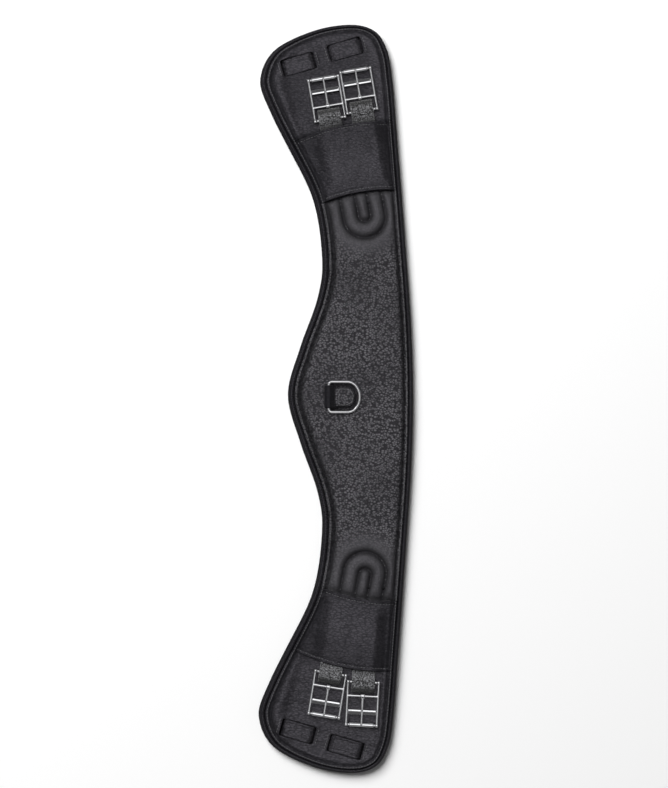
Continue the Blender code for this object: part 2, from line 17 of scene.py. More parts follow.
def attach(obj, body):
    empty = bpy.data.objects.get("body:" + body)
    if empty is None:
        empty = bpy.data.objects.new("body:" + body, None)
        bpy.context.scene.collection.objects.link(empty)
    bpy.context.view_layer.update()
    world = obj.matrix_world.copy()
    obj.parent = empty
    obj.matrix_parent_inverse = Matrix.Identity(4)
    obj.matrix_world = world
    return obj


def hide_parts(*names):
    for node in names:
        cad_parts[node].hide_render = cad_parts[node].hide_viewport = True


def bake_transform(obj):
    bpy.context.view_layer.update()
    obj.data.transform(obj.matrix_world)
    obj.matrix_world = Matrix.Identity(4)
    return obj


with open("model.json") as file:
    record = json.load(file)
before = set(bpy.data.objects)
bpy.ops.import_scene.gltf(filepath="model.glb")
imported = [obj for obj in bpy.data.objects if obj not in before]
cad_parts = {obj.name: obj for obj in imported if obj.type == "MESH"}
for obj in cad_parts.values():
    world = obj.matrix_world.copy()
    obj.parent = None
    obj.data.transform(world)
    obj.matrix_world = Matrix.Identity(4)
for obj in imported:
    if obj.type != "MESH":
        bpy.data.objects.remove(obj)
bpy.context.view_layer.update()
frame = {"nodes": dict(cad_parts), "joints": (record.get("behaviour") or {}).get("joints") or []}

MM = 0.001
ENDS = {"near": 1, "off": -1}

# The outline and the lines that follow it, as the CAD has them. An arc is (x and y of its crown,
# how fast it falls away).
OUTLINE_HEIGHT = 5.5
SEAM_RING_HEIGHT = 9.6
SEAM_RING_INSET = 7.4
EDGE_INSET = 7.1
UNDERLAP_INSET = 15.0
ROOT_ARC = (54.0, 210.0, 0.0030)
MOUTH_ARC = (48.0, 278.6, 0.00255)
ROOT_LAP = 1.6
UNDERLAP = 5.0
POCKET_DEPTH = 34.0
BUTT_GAP = 0.15

# The rolled rim: inset and height, from the flat underside round to under the front leather's edge.
RIM_OUTER = [(4.4, 0.0), (2.2, 0.5), (0.7, 2.2), (0.0, 5.5), (0.5, 8.1), (1.7, 9.9)]
RIM_OUTER += [(3.1, 10.8), (4.0, 10.95), (5.1, 10.6), (6.0, 9.9), (6.7, 9.45), (7.7, 9.2)]
RIM_INNER = [(7.75, 7.7), (4.6, 8.1), (2.5, 5.2), (3.6, 2.7), (5.3, 2.0)]

# Top surfaces: height against inset. The first few points are the turned edge and the seam's groove.
SEAM_END = (12.3, 8.95)
TURNED_EDGE = [(7.0, 10.3), (7.6, 10.8), (8.3, 11.0), (9.0, 10.9), (9.8, 10.3), (11.0, 9.6), SEAM_END]
PANEL_PROFILE = [(13.0, 9.6), (14.0, 11.6), (15.5, 13.2), (18.0, 14.0), (22.0, 14.6), (32.0, 14.9)]
PANEL_PROFILE += [(80.0, 15.0)]
FACING_PROFILE = [(13.2, 9.3), (14.6, 10.2), (16.8, 10.45), (20.5, 9.9), (26.0, 9.3), (34.0, 9.0)]
FACING_PROFILE += [(42.0, 8.85), (80.0, 8.85)]
COVER_PROFILE = [(13.2, 9.4), (15.0, 10.2), (20.0, 10.6), (80.0, 10.8)]
SEAM_STITCH_INSET = 8.9
LEATHER = 1.4

# The facings swell along their front edge, in front of an x and most at an inset. They are pressed
# down where they pass under a cover.
FACING_SWELL = 1.3
FACING_SWELL_FROM = -36.0
FACING_SWELL_INSET = 21.0
FACING_UNDER_COVER = 8.9

# The covers: the crown over the straps, the slopes beside them (how far out each begins, and its
# width), the crown's rise from the root, the step and ridge there, the hem and its groove at the
# mouth, and the small folds.
COVER_CROWN = 14.85
COVER_SLOPES = ((12.0, 17.0), (9.5, 13.0))
COVER_RISE = 2.3
COVER_STITCH_SETBACKS = (3.3, 2.9)
ROOT_STEP = 1.75
COVER_RIDGE = 0.75
COVER_HEM = 0.35
COVER_HEM_GROOVE = 0.65
COVER_SAG = 0.12
COVER_FOLDS = 0.20

# Painted shade: how much the leather's colour is darkened and dulled where shade falls, under the
# covers' mouths, in the facings' middles, on the covers' flanks and slopes, in the seam's band and in
# the quilting, and a painted shadow on the ground under the D-ring.
MOUTH_SHADE = {"near": 0.9, "off": 0.35}
FACING_SHADE = {"near": 0.34, "off": 0.10}
COVER_PAINTED_SHADE = 0.38
COVER_FLANK_PAINTED_SHADE = 0.25
COVER_SLOPE_SHADE = 1.7
PANEL_SHADE = 0.85
RING_SHADE = 0.75
RING_GROUND_AT = 13.0
RING_GROUND_SIZE = (19.5, 17.0)
SEAM_BAND = (9.2, 12.5)

# The double U of quilting at each end of the centre panel, as (half width, y of the closed end). The
# leather is taut near it, and eases farther off.
QUILT_X = 29.6
QUILT_LEAN = 11.0
QUILT_OUTER = (21.3, 159.2)
QUILT_INNER = (6.2, 175.8)
QUILT_DEPTH = 0.82
QUILT_WIDTH = 2.8
QUILT_LEGS = 30.0
TAUT = 0.9
TAUT_FROM = 4.0
TAUT_FADE = 26.0
WADDING = 0.6
WADDING_GAP = 0.1
WADDING_INSET = 15.0

# The billet keepers.
KEEPERS = {"front": (-37.9, 338.3), "rear": (10.1, 353.9)}
KEEPER_SLOPE = 16.0
WINDOW = (35.0, 17.0)
WINDOW_CORNER = 1.6
KEEPER_BAND = (42.0, 16.9)
KEEPER_CROWN = 9.6
KEEPER_TUCK = 5.7
KEEPER_RISE_LENGTH = 6.0
KEEPER_LEATHER = 1.3
WINDOW_LIP = 0.55
WINDOW_SWELL = 0.15
WINDOW_STITCH_OFFSET = 2.6

# Buckle dimensions, in a buckle's own axes: Y along its strap, out to the tip; Z up.
STRAP_WIDTH = 23.0
STRAP_PLY = 1.7
STRAP_BACK = -46.5
STRAP_ROW_AT = -6.4
BAR_RADIUS = 1.5
TURNING_GAP = 0.3
TONGUE_BAR_RADIUS = 1.35
RAIL_RADIUS = 1.3
LOOP_RADIUS = 3.6
FOLD_PAST_BAR = 5.0
FOLD_REACH = 4.8
RAIL_HALF_SPACING = 15.3
TONGUE_BAR_AT = 13.8
PLATE_AT = 30.0
ROLLER_AT = 42.5
ROLLER_RADIUS = 2.4
ROLLER_LENGTH = 24.4
PLATE_HALF_WIDTH = 2.45
PLATE_UNDERSIDE = -1.15
TONGUE_TIP = 30.1
TONGUE_TIP_RADIUS = 1.15

# The rails' eyes on the end bar and on the roller's bar: radius, half length, rounding. A tongue's
# knuckle: outer and inner radius, half length, rounding.
EYE = (2.05, 1.3, 0.5)
ROLLER_EYE = (2.25, 1.35, 0.6)
KNUCKLE = (2.95, 1.8, 2.0, 0.4)

# The D-ring, from its straight bar, and its leather.
RING_WIRE = 1.5
RING_HALF_WIDTH = 15.3
RING_CORNER = 3.2
RING_STRAIGHT = 19.3
RING_BOW = 12.0
RING_DROOP = 3.0
RING_PLY = 1.25
RING_LOOP_HALF_WIDTH = 11.6
RING_ROLL_REACH = 3.7
RING_ROLL_END = 5.5
RING_TAB_HALF_WIDTH = 9.8
RING_TAB_LENGTH = 26.6
RING_TAB_ROUND = 9.0
RING_TAB_DOME = 0.8
RING_TAB_STITCH_INSET = 1.8
RING_TAB_STITCH_FROM = 10.4

STITCH_PITCH = 2.9
STITCH_LENGTH = 2.15
THREAD_RADIUS = 0.36

# The sheen's tint, and the tone of taut leather between its creases (0) and its crests (1).
LEATHER_TINT = (0.93, 0.89, 1.0)
TAUT_TONE = 0.40

# The stage, in metres, and its world's grey levels. A light is its place, what it points at, its
# size and power, and whether it lights diffuse surfaces and shows in glossy ones.
LIGHTS = {
    "key": ((-1.85, 2.2, 3.5), (0.0, 0.0, 0.0), (2.9, 2.9), 300.0, True, False),
    "overhead_strip": ((0.0, 0.2, 2.5), (0.0, 0.2, 0.0), (0.45, 2.4), 6.0, False, True),
    "overhead_glow": ((0.0, 0.2, 2.5), (0.0, 0.2, 0.0), (1.1, 2.4), 12.0, False, True),
    "kicker": ((-1.2, 1.5, 2.4), (0.0, 0.0, 0.0), (0.6, 0.6), 6.0, False, True),
}
FLOOR_HALF_SIDE = 6.0
WORLD_LIGHT = 0.12
WORLD_BAND = 0.50
WORLD_WALL = 0.80
CAMERA_DISTANCE = 2.4
CAMERA_TILT = 4.35
CAMERA_AIM = (-0.0016, 0.0004, 0.008)
CAMERA_SENSOR = 36.0
VIEW_HEIGHT = 0.7975


# Curves and distances


def spline(points, steps, closed=False):
    """Catmull-Rom through the points."""
    points = np.asarray(points, float)
    if closed:
        points = np.vstack([points[-1:], points, points[:2]])
    else:
        points = np.vstack([2 * points[:1] - points[1:2], points, 2 * points[-1:] - points[-2:-1]])
    t = np.linspace(0, 1, steps, endpoint=False)[:, None]
    spans = [
        0.5 * (2 * b + (c - a) * t + (2 * a - 5 * b + 4 * c - d) * t**2 + (3 * b - a - 3 * c + d) * t**3)
        for a, b, c, d in zip(points, points[1:], points[2:], points[3:])
    ]
    return np.vstack(spans) if closed else np.vstack(spans + [points[-2][None]])


def resample(points, spacing, closed=False):
    """The same line with points evenly spaced."""
    points = np.asarray(points, float)
    if closed:
        points = np.vstack([points, points[:1]])
    along = np.concatenate([[0], np.cumsum(np.hypot(*np.diff(points, axis=0).T))])
    count = max(2, round(along[-1] / spacing))
    wanted = np.linspace(0, along[-1], count + 1)[: count if closed else None]
    return np.stack([np.interp(wanted, along, points[:, k]) for k in (0, 1)], axis=1)


def smooth_step(value):
    """An easing from 0, at 0 and below, to 1, at 1 and above."""
    value = np.clip(value, 0, 1)
    return value * value * (3 - 2 * value)


def bump(value, width):
    """1 at 0, fading to nothing over about twice the width on each side."""
    return np.exp(-((value / width) ** 2))


def profile(table):
    """A smooth function through a table of (position, height)."""
    curve = spline(table, 12)
    return lambda at: np.interp(at, curve[:, 0], curve[:, 1])


def arc_points(centre, radii, start, stop, count):
    """Points along part of an ellipse, from one angle to another in degrees."""
    turn = np.radians(np.linspace(start, stop, count))
    return np.array(centre) + np.stack([radii[0] * np.cos(turn), radii[1] * np.sin(turn)], axis=1)


def unit(vectors):
    """The vectors at length 1."""
    return vectors / np.hypot(*vectors.T)[:, None]


def left_of(directions):
    return np.stack([-directions[:, 1], directions[:, 0]], axis=1)


def directions_round(loop, reach):
    """The direction of a closed line at each of its points, between the points reach away."""
    return unit(np.roll(loop, -reach, axis=0) - np.roll(loop, reach, axis=0))


def signed_area(loop):
    """Positive for a closed line that runs anticlockwise."""
    x, y = loop.T
    return np.sum(x * np.roll(y, -1) - y * np.roll(x, -1))


def tree_of(points):
    tree = kdtree.KDTree(len(points))
    for index, (x, y) in enumerate(points):
        tree.insert((x, y, 0), index)
    tree.balance()
    return tree


def nearest(tree, points):
    """(index, distance) of the nearest tree point to each of the points."""
    found = [tree.find((x, y, 0)) for x, y in points]
    return np.array([f[1] for f in found]), np.array([f[2] for f in found])


def cad_ring(node, height):
    """The node's vertices at one height, in mm, in order round the outline."""
    points = np.array([v.co for v in frame["nodes"][node].data.vertices]) / MM
    points = points[np.abs(points[:, 2] - height) < 0.02][:, :2]
    points = np.unique(np.round(points, 2), axis=0)
    order, left = [0], set(range(1, len(points)))
    while left:
        here = points[order[-1]]
        closest = min(left, key=lambda i: (points[i, 0] - here[0]) ** 2 + (points[i, 1] - here[1]) ** 2)
        order.append(closest)
        left.remove(closest)
    ring = points[order]
    return ring if signed_area(ring) > 0 else ring[::-1]


def joint(name):
    return next(j for j in frame["joints"] if j["name"] == name)


def hinge_place(name):
    return np.array(joint(name)["pos_m"]) / MM


class Outline:
    """The girth's outline as a dense smooth curve, with its outward normals and rim widths."""

    def __init__(self):
        ring = cad_ring("lining_leather", OUTLINE_HEIGHT)
        self.points = resample(spline(ring, 16, closed=True), 1.0, closed=True)
        self.normals = -left_of(directions_round(self.points, 3))
        seam = cad_ring("lining_leather", SEAM_RING_HEIGHT)
        seam = resample(spline(seam, 16, closed=True), 0.5, closed=True)
        width = nearest(tree_of(seam), self.points)[1] / SEAM_RING_INSET
        kernel = np.hanning(41) / np.hanning(41).sum()
        self.rim = np.convolve(np.concatenate([width[-20:], width, width[:20]]), kernel, "valid")
        self.tree = tree_of(self.points)

    def inset(self, points):
        index, _ = nearest(self.tree, points)
        away = points - self.points[index]
        return -np.einsum("ij,ij->i", away, self.normals[index]) / self.rim[index]

    def line(self, inset):
        return self.points - self.normals * (self.rim * inset)[:, None]

    def edge(self, side, inset, low, high):
        """The inset line along the front (-1) or rear (+1) edge, from y low to y high."""
        keep = (np.sign(self.normals[:, 0]) == side) & (np.abs(self.points[:, 1]) < 335)
        line = self.line(inset)[keep]
        line = line[np.argsort(line[:, 1])]
        ys = np.linspace(low, high, max(2, round(abs(high - low))))
        return np.stack([np.interp(ys, line[:, 1], line[:, 0]), ys], axis=1)


OUTLINE = Outline()


def arc_y(arc, x):
    return arc[1] - arc[2] * (x - arc[0]) ** 2


def beyond_arc(arc, points, sign):
    """Distance past the arc, out towards that end's tip."""
    slope = -2 * arc[2] * (points[:, 0] - arc[0])
    return (points[:, 1] * sign - arc_y(arc, points[:, 0])) / np.sqrt(1 + slope**2)


def meeting(arc, side, inset, shift):
    """The y at which the near end's arc, moved out by shift, meets an inset line."""
    line = OUTLINE.edge(side, inset, -330, 330)
    y = arc[1]
    for _ in range(12):
        y = arc_y(arc, float(np.interp(y, line[:, 1], line[:, 0]))) + shift
    return y


def arc_line(arc, x_from, x_to, shift, sign):
    xs = np.linspace(x_from, x_to, max(2, round(abs(x_to - x_from))))
    return np.stack([xs, (arc_y(arc, xs) + shift) * sign], axis=1)


# Meshes


def placed(name, data):
    """A new object in the scene."""
    obj = bpy.data.objects.new(name, data)
    bpy.context.scene.collection.objects.link(obj)
    return obj


def hand_over(obj, body, node):
    """The object rides on a body and stands in for a CAD node."""
    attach(obj, body)
    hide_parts(node)


def transform(vertices, matrix):
    """Vertices in mm through a matrix whose translation is in mm."""
    m = np.array(matrix)
    return np.asarray(vertices) @ m[:3, :3].T + m[:3, 3]


def flat(points, matrix):
    """Flat points through a matrix."""
    return transform(np.column_stack([points, np.zeros(len(points))]), matrix)[:, :2]


def mesh_object(name, vertices, faces, *materials):
    """A smooth-shaded object from vertices in millimetres."""
    mesh = bpy.data.meshes.new(name)
    mesh.from_pydata((np.asarray(vertices) * MM).tolist(), [], [list(map(int, f)) for f in faces])
    mesh.update()
    mesh.shade_smooth()
    for finish in materials:
        mesh.materials.append(finish)
    return placed(name, mesh)


def inside(polygon, points):
    """Which of the points lie inside the polygon."""
    found = np.zeros(len(points), bool)
    x, y = points[:, 0], points[:, 1]
    for (ax, ay), (bx, by) in zip(polygon, np.roll(polygon, -1, axis=0)):
        if ay == by:
            continue
        crosses = ((ay > y) != (by > y)) & (x < (bx - ax) * (y - ay) / (by - ay) + ax)
        found ^= crosses
    return found


def triangulate(boundary, holes, spacing, edge_rows):
    """(points, triangles, distance to the nearest boundary) over a region with holes."""
    loops = [boundary] + holes
    dense = tree_of(np.vstack([resample(loop, 0.4, closed=True) for loop in loops]))
    low, high = boundary.min(0), boundary.max(0)
    xs = np.arange(low[0], high[0], spacing)
    ys = np.arange(low[1], high[1], spacing * math.sqrt(3) / 2)
    grid = np.stack(np.meshgrid(xs, ys), axis=2)
    grid[1::2, :, 0] += spacing / 2
    inner = grid.reshape(-1, 2)
    for loop in loops:
        kept = inside(loop, inner)
        inner = inner[kept if loop is boundary else ~kept]
    inner = inner[nearest(dense, inner)[1] > edge_rows[-1] + 0.5 * spacing]
    rows = []
    for loop in loops:
        side = np.sign(signed_area(loop)) * (1 if loop is boundary else -1)
        inward = left_of(directions_round(loop, 1)) * side
        for depth in edge_rows:
            row = loop + inward * depth
            rows.append(row[nearest(dense, row)[1] > 0.8 * depth])
    edges, start = [], 0
    for loop in loops:
        count = len(loop)
        edges += [(start + i, start + (i + 1) % count) for i in range(count)]
        start += count
    vectors = [Vector(p) for p in np.vstack(loops + rows + [inner])]
    made = geometry.delaunay_2d_cdt(vectors, edges, [], 0, 1e-5, False)
    points = np.array([tuple(v) for v in made[0]])
    triangles = np.array([f for f in made[2] if len(f) == 3])
    middles = points[triangles].mean(1)
    keep = inside(boundary, middles)
    for hole in holes:
        keep &= ~inside(hole, middles)
    triangles = triangles[keep]
    used, index = np.unique(triangles, return_inverse=True)
    points, triangles = points[used], index.reshape(-1, 3)
    a, b, c = (points[triangles[:, k]] for k in range(3))
    turned = (b[:, 0] - a[:, 0]) * (c[:, 1] - a[:, 1]) - (b[:, 1] - a[:, 1]) * (c[:, 0] - a[:, 0]) < 0
    triangles[turned] = triangles[turned][:, ::-1]
    distance = nearest(dense, points)[1]
    sides = np.sort(np.concatenate([triangles[:, pair] for pair in ([0, 1], [1, 2], [2, 0])]), axis=1)
    unique, count = np.unique(sides, axis=0, return_counts=True)
    distance[np.unique(unique[count == 1])] = 0
    return points, triangles, distance


def shade(obj, values, name="painted_shade"):
    """A value from 0 to 1 at each vertex, for the materials.

    Shade values paint shade: dark, dull leather, or a dark weave on the strap; taut stretches the grain out.
    """
    values = np.clip(values, 0, 1)
    obj.data.attributes.new(name, "FLOAT", "POINT").data.foreach_set("value", values)


def leather_sheet(
    name, boundary, height, finish, holes=(), spacing=1.8, thickness=LEATHER, painted_shade=None, place=None
):
    """A closed leather piece of even thickness with rounded edges. height gives its top surface."""
    round_over = thickness / 2
    edge_rows = [0.14 * round_over, 0.45 * round_over, round_over, 1.6]
    points, triangles, distance = triangulate(boundary, list(holes), spacing, edge_rows)
    share = np.clip(distance / round_over, 0, 1)
    half = round_over * np.sqrt(1 - (1 - share) ** 2)
    middle = height(points) - round_over
    count = len(points)
    rim = distance == 0
    lower = np.arange(count) + count
    lower[rim] = np.arange(count)[rim]
    shift = np.cumsum(rim)
    lower[~rim] -= shift[~rim]
    upper, under = (np.column_stack([points, middle + side * half]) for side in (1, -1))
    vertices = np.vstack([upper, under[~rim]])
    if place is not None:
        vertices = transform(vertices, place)
    faces = np.vstack([triangles, lower[triangles[:, ::-1]]])
    obj = mesh_object(name, vertices, faces, finish)
    # Painted shade, from 0 to 1 at each vertex, for the leather's colour and sheen.
    if painted_shade is not None:
        values = painted_shade(points)
        shade(obj, np.concatenate([values, values[~rim]]))
    return obj


def sweep(sections, closed=False):
    """(vertices, faces) of a skin through sections, which are closed loops of as many points each."""
    count = len(sections[0])
    vertices = np.vstack(sections)
    rows = len(sections)
    faces = []
    for i in range(rows if closed else rows - 1):
        j = (i + 1) % rows
        for k in range(count):
            m = (k + 1) % count
            faces.append((i * count + k, i * count + m, j * count + m, j * count + k))
    if not closed:
        faces.append(tuple(range(count))[::-1])
        faces.append(tuple((rows - 1) * count + k for k in range(count)))
    return vertices, faces


def rod(path, radii, closed=False):
    """A round bar along a path that lies in one plane."""
    path = np.asarray(path, float)
    if closed:
        forward = np.roll(path, -1, axis=0) - np.roll(path, 1, axis=0)
    else:
        forward = np.gradient(path, axis=0)
    forward /= np.linalg.norm(forward, axis=1)[:, None]
    spread = path.max(0) - path.min(0)
    normal = np.eye(3)[int(np.argmin(spread))]
    if abs(forward[0] @ normal) > 0.9:
        normal = np.array([0, 0, 1.0])
    angles = 2 * np.pi * np.arange(24) / 24
    sections = []
    for place, ahead, radius in zip(path, forward, radii):
        side = np.cross(ahead, normal)
        side /= np.linalg.norm(side)
        up = np.cross(side, ahead)
        sections.append(place + radius * (np.outer(np.cos(angles), side) + np.outer(np.sin(angles), up)))
    return sweep(sections, closed)


def round_ended(start, end, radius, round_over):
    """A straight bar with its end edges rounded over."""
    start, end = np.asarray(start, float), np.asarray(end, float)
    ahead = (end - start) / np.linalg.norm(end - start)
    angles = np.radians([90, 68, 45, 22, 0])
    depths = np.outer(1 - np.sin(angles), ahead * round_over)
    radii = radius - round_over + round_over * np.cos(angles)
    return rod(np.vstack([start + depths, (end - depths)[::-1]]), np.concatenate([radii, radii[::-1]]))


def tube(outer, inner, half_length, round_over, segments=40):
    """A tube across, centred on the X axis, with rounded ends."""
    corner = np.radians([0, 30, 60, 90])
    section = []
    for x_sign, r_mid, radial in ((1, outer, 1), (-1, outer, 1), (-1, inner, -1), (1, inner, -1)):
        rounded = []
        for a in corner:
            x = x_sign * (half_length - round_over * (1 - math.cos(a)))
            rounded.append((x, r_mid - radial * round_over * (1 - math.sin(a))))
        rounded.append((x_sign * (half_length - 2 * round_over), r_mid))
        section += rounded if (x_sign > 0) == (radial > 0) else rounded[::-1]
    rows = []
    for angle in 2 * np.pi * np.arange(segments) / segments:
        rows.append(np.array([(x, r * math.cos(angle), r * math.sin(angle)) for x, r in section]))
    return sweep(rows, closed=True)


def joined(pieces):
    """(vertices, faces) of all the pieces together."""
    vertices, faces, start = [], [], 0
    for points, polygons in pieces:
        vertices.append(points)
        faces += [tuple(i + start for i in f) for f in polygons]
        start += len(points)
    return np.vstack(vertices), faces


def outward(obj):
    """The object, with its faces turned to face out."""
    bm = bmesh.new()
    bm.from_mesh(obj.data)
    bmesh.ops.recalc_face_normals(bm, faces=bm.faces)
    bm.to_mesh(obj.data)
    bm.free()
    return obj


def fused(name, pieces, voxel, smoothing):
    """A cast-looking steel skin round overlapping closed pieces, with small fillets where they meet."""
    obj = outward(mesh_object(name, *joined(pieces), STEEL))
    remesh = obj.modifiers.new("fuse", "REMESH")
    remesh.mode = "VOXEL"
    remesh.voxel_size = voxel * MM
    soften = obj.modifiers.new("fillet", "SMOOTH")
    soften.factor = 0.5
    soften.iterations = smoothing
    graph = bpy.context.evaluated_depsgraph_get()
    mesh = bpy.data.meshes.new_from_object(obj.evaluated_get(graph))
    mesh.shade_smooth()
    bpy.data.objects.remove(obj)
    return mesh


# Materials


class Nodes:
    """A node tree with a few shorthands. A value is a number, a colour or another node's output."""

    def __init__(self, owner, shader, coordinates):
        owner.use_nodes = True
        self.tree = owner.node_tree
        self.shader = self.tree.nodes[shader]
        self.place = self.add("ShaderNodeTexCoord").outputs[coordinates]

    def add(self, kind, inputs=None, **settings):
        node = self.tree.nodes.new(kind)
        for key, value in settings.items():
            setattr(node, key, value)
        for key, value in (inputs or {}).items():
            if isinstance(value, bpy.types.NodeSocket):
                self.tree.links.new(value, node.inputs[key])
            else:
                node.inputs[key].default_value = value
        return node

    def noise(self, scale, detail, place=None):
        inputs = {"Vector": place or self.place, "Scale": scale, "Detail": detail}
        return self.add("ShaderNodeTexNoise", inputs).outputs["Fac"]

    def math(self, operation, a, b):
        return self.add("ShaderNodeMath", {0: a, 1: b}, operation=operation).outputs[0]

    def sum(self, a, a_share, b, b_share):
        """a and b added, in these shares."""
        return self.math("ADD", self.math("MULTIPLY", a, a_share), self.math("MULTIPLY", b, b_share))

    def remap(self, value, low, high, to_low=0.0, to_high=1.0):
        inputs = {"Value": value, "From Min": low, "From Max": high, "To Min": to_low, "To Max": to_high}
        return self.add("ShaderNodeMapRange", inputs).outputs[0]

    def between(self, share, at_none, at_all):
        """From one value to the other as share goes from 0 to 1."""
        return self.remap(share, 0.0, 1.0, at_none, at_all)

    def mix(self, share, one, other):
        node = self.add("ShaderNodeMix", data_type="RGBA")
        for socket, value in ((node.inputs[0], share), (node.inputs[6], one), (node.inputs[7], other)):
            if isinstance(value, bpy.types.NodeSocket):
                self.tree.links.new(value, socket)
            else:
                socket.default_value = value if isinstance(value, float) else (*value, 1)
        return node.outputs[2]

    def bump(self, height, distance, strength=1.0, under=None):
        inputs = {"Height": height, "Distance": distance, "Strength": strength}
        if under is not None:
            inputs["Normal"] = under
        return self.add("ShaderNodeBump", inputs).outputs["Normal"]

    def vector(self, operation, inputs):
        return self.add("ShaderNodeVectorMath", inputs, operation=operation).outputs[0]

    def stretched(self, x, y, place=None):
        inputs = {"Vector": place or self.place, "Scale": (x, y, 1.0)}
        return self.add("ShaderNodeMapping", inputs).outputs[0]

    def attribute(self, name):
        return self.add("ShaderNodeAttribute", attribute_name=name).outputs["Fac"]

    def set(self, key, value):
        self.tree.links.new(value, self.shader.inputs[key])


class Finish(Nodes):
    """A material."""

    def __init__(self, name, color, roughness, metallic=0.0, specular=0.5):
        self.material = bpy.data.materials.new(name)
        super().__init__(self.material, "Principled BSDF", "Object")
        self.shader.inputs["Base Color"].default_value = (*color, 1)
        self.shader.inputs["Roughness"].default_value = roughness
        self.shader.inputs["Metallic"].default_value = metallic
        self.shader.inputs["Specular IOR Level"].default_value = specular


def scaled(color, share):
    """The colour made darker or lighter."""
    return tuple(c * share for c in color)


def leather(name, color, crease_color, roughness, cell, depth, specular, wrinkle, lump, mottle, stretch):
    """Leather: rounded grain cells of a given size and depth in mm, with creases between them.

    wrinkle and lump are the depths in mm of long folds and of small swellings, mottle is how much
    darker the creases are, and stretch is a cell's length along Y against that along X.
    """
    f = Finish(name, color, roughness, specular=specular)
    warp = f.add("ShaderNodeTexNoise", {"Vector": f.place, "Scale": 0.45 / (cell * MM), "Detail": 2.0})
    shifted = f.vector("SUBTRACT", {0: warp.outputs["Color"], 1: (0.5, 0.5, 0.5)})
    shifted = f.vector("SCALE", {0: shifted, "Scale": 0.4 * cell * MM})
    place = f.stretched(stretch, 1.0, f.vector("ADD", {0: f.place, 1: shifted}))
    grid = {"Vector": place, "Scale": 1 / (cell * MM)}
    middle = f.add("ShaderNodeTexVoronoi", grid).outputs["Distance"]
    border = f.add("ShaderNodeTexVoronoi", grid, feature="DISTANCE_TO_EDGE").outputs["Distance"]
    dome = f.remap(f.math("POWER", middle, 2.0), 0.0, 0.55, 1.0, 0.0)
    pebble = f.remap(border, 0.0, 0.17)
    fine = f.noise(3.0 / (cell * MM), 2.0)
    grain = f.math("ADD", f.sum(dome, 0.6, pebble, 0.25), f.math("MULTIPLY", fine, 0.3))
    broad = f.noise(18.0, 3.0)
    taut = f.attribute("taut")
    normal = f.bump(grain, depth * MM, f.between(taut, 1.0, 0.35))
    swelling = f.noise(2.3 / (cell * MM), 1.0, place)
    normal = f.bump(swelling, lump * MM, 1.0, normal)
    normal = f.bump(f.noise(60.0, 6.0, f.stretched(0.4, 1.0)), wrinkle * MM, 1.0, normal)
    f.set("Normal", normal)
    tone = f.mix(f.remap(broad, 0.36, 0.66), scaled(color, 0.8), scaled(color, 1.4))
    crest = f.remap(f.sum(swelling, 0.6, dome, 1.2), 0.62, 1.26)
    tone = f.mix(f.between(taut, crest, TAUT_TONE), scaled(color, 1 - mottle), tone)
    pebble = f.between(taut, pebble, 0.9)
    # Painted shade: the colour is darkened towards the crease colour and the sheen lowered.
    painted_shade = f.attribute("painted_shade")
    f.set("Base Color", f.mix(painted_shade, f.mix(pebble, crease_color, tone), crease_color))
    f.set("Specular IOR Level", f.between(painted_shade, specular, 0.35 * specular))
    f.shader.inputs["Specular Tint"].default_value = (*LEATHER_TINT, 1)
    patch = f.math("ADD", f.remap(broad, 0.3, 0.7, -0.05, 0.05), f.between(pebble, 0.12, 0.0))
    f.set("Roughness", f.math("ADD", patch, roughness))
    return f.material


def steel(name, color, roughness):
    """Polished stainless steel with fine scratches."""
    f = Finish(name, color, roughness, metallic=1.0)
    scratch = f.noise(900.0, 4.0, f.stretched(1.0, 9.0))
    smear = f.noise(120.0, 3.0)
    f.set("Roughness", f.remap(smear, 0.3, 0.7, roughness - 0.04, roughness + 0.07))
    f.set("Base Color", f.mix(f.remap(smear, 0.3, 0.75), color, scaled(color, 0.86)))
    f.set("Normal", f.bump(scratch, 0.006 * MM))
    return f.material


def elastic(name, color):
    """Tightly woven black elastic: ribs along the strap crossed by finer picks, with a fuzzy surface."""
    f = Finish(name, color, 0.42)
    wobble = {"Vector": f.place, "Distortion": 2.2, "Detail": 2.0, "Detail Scale": 3.0}
    ribs, picks = (
        f.add("ShaderNodeTexWave", {"Scale": scale, **wobble}, bands_direction=axis).outputs["Fac"]
        for axis, scale in (("X", 125.0), ("Y", 140.0))
    )
    weave = f.math("MULTIPLY", ribs, picks)
    knots = f.remap(f.noise(760.0, 2.0), 0.40, 0.60)
    f.set("Normal", f.bump(f.sum(weave, 0.4, knots, 0.9), 0.9 * MM))
    lit = f.math("MULTIPLY", f.between(weave, 0.6, 1.0), knots)
    woven = f.mix(lit, scaled(color, 0.08), scaled(color, 5.0))
    # The weave's colour is darkened as painted shade where the strap curls round the bar and under a mouth.
    f.set("Base Color", f.mix(f.attribute("strap_painted_shade"), woven, scaled(color, 0.15)))
    f.shader.inputs["Sheen Weight"].default_value = 0.3
    return f.material


def cloth(name, color, thread):
    """Plain woven or foamed filling that is seen only through small gaps."""
    f = Finish(name, color, 0.92, specular=0.2)
    weave = f.add("ShaderNodeTexVoronoi", {"Vector": f.place, "Scale": 1 / (thread * MM)}).outputs["Distance"]
    f.set("Normal", f.bump(weave, 0.15 * MM))
    f.set("Base Color", f.mix(weave, scaled(color, 1.3), scaled(color, 0.5)))
    return f.material


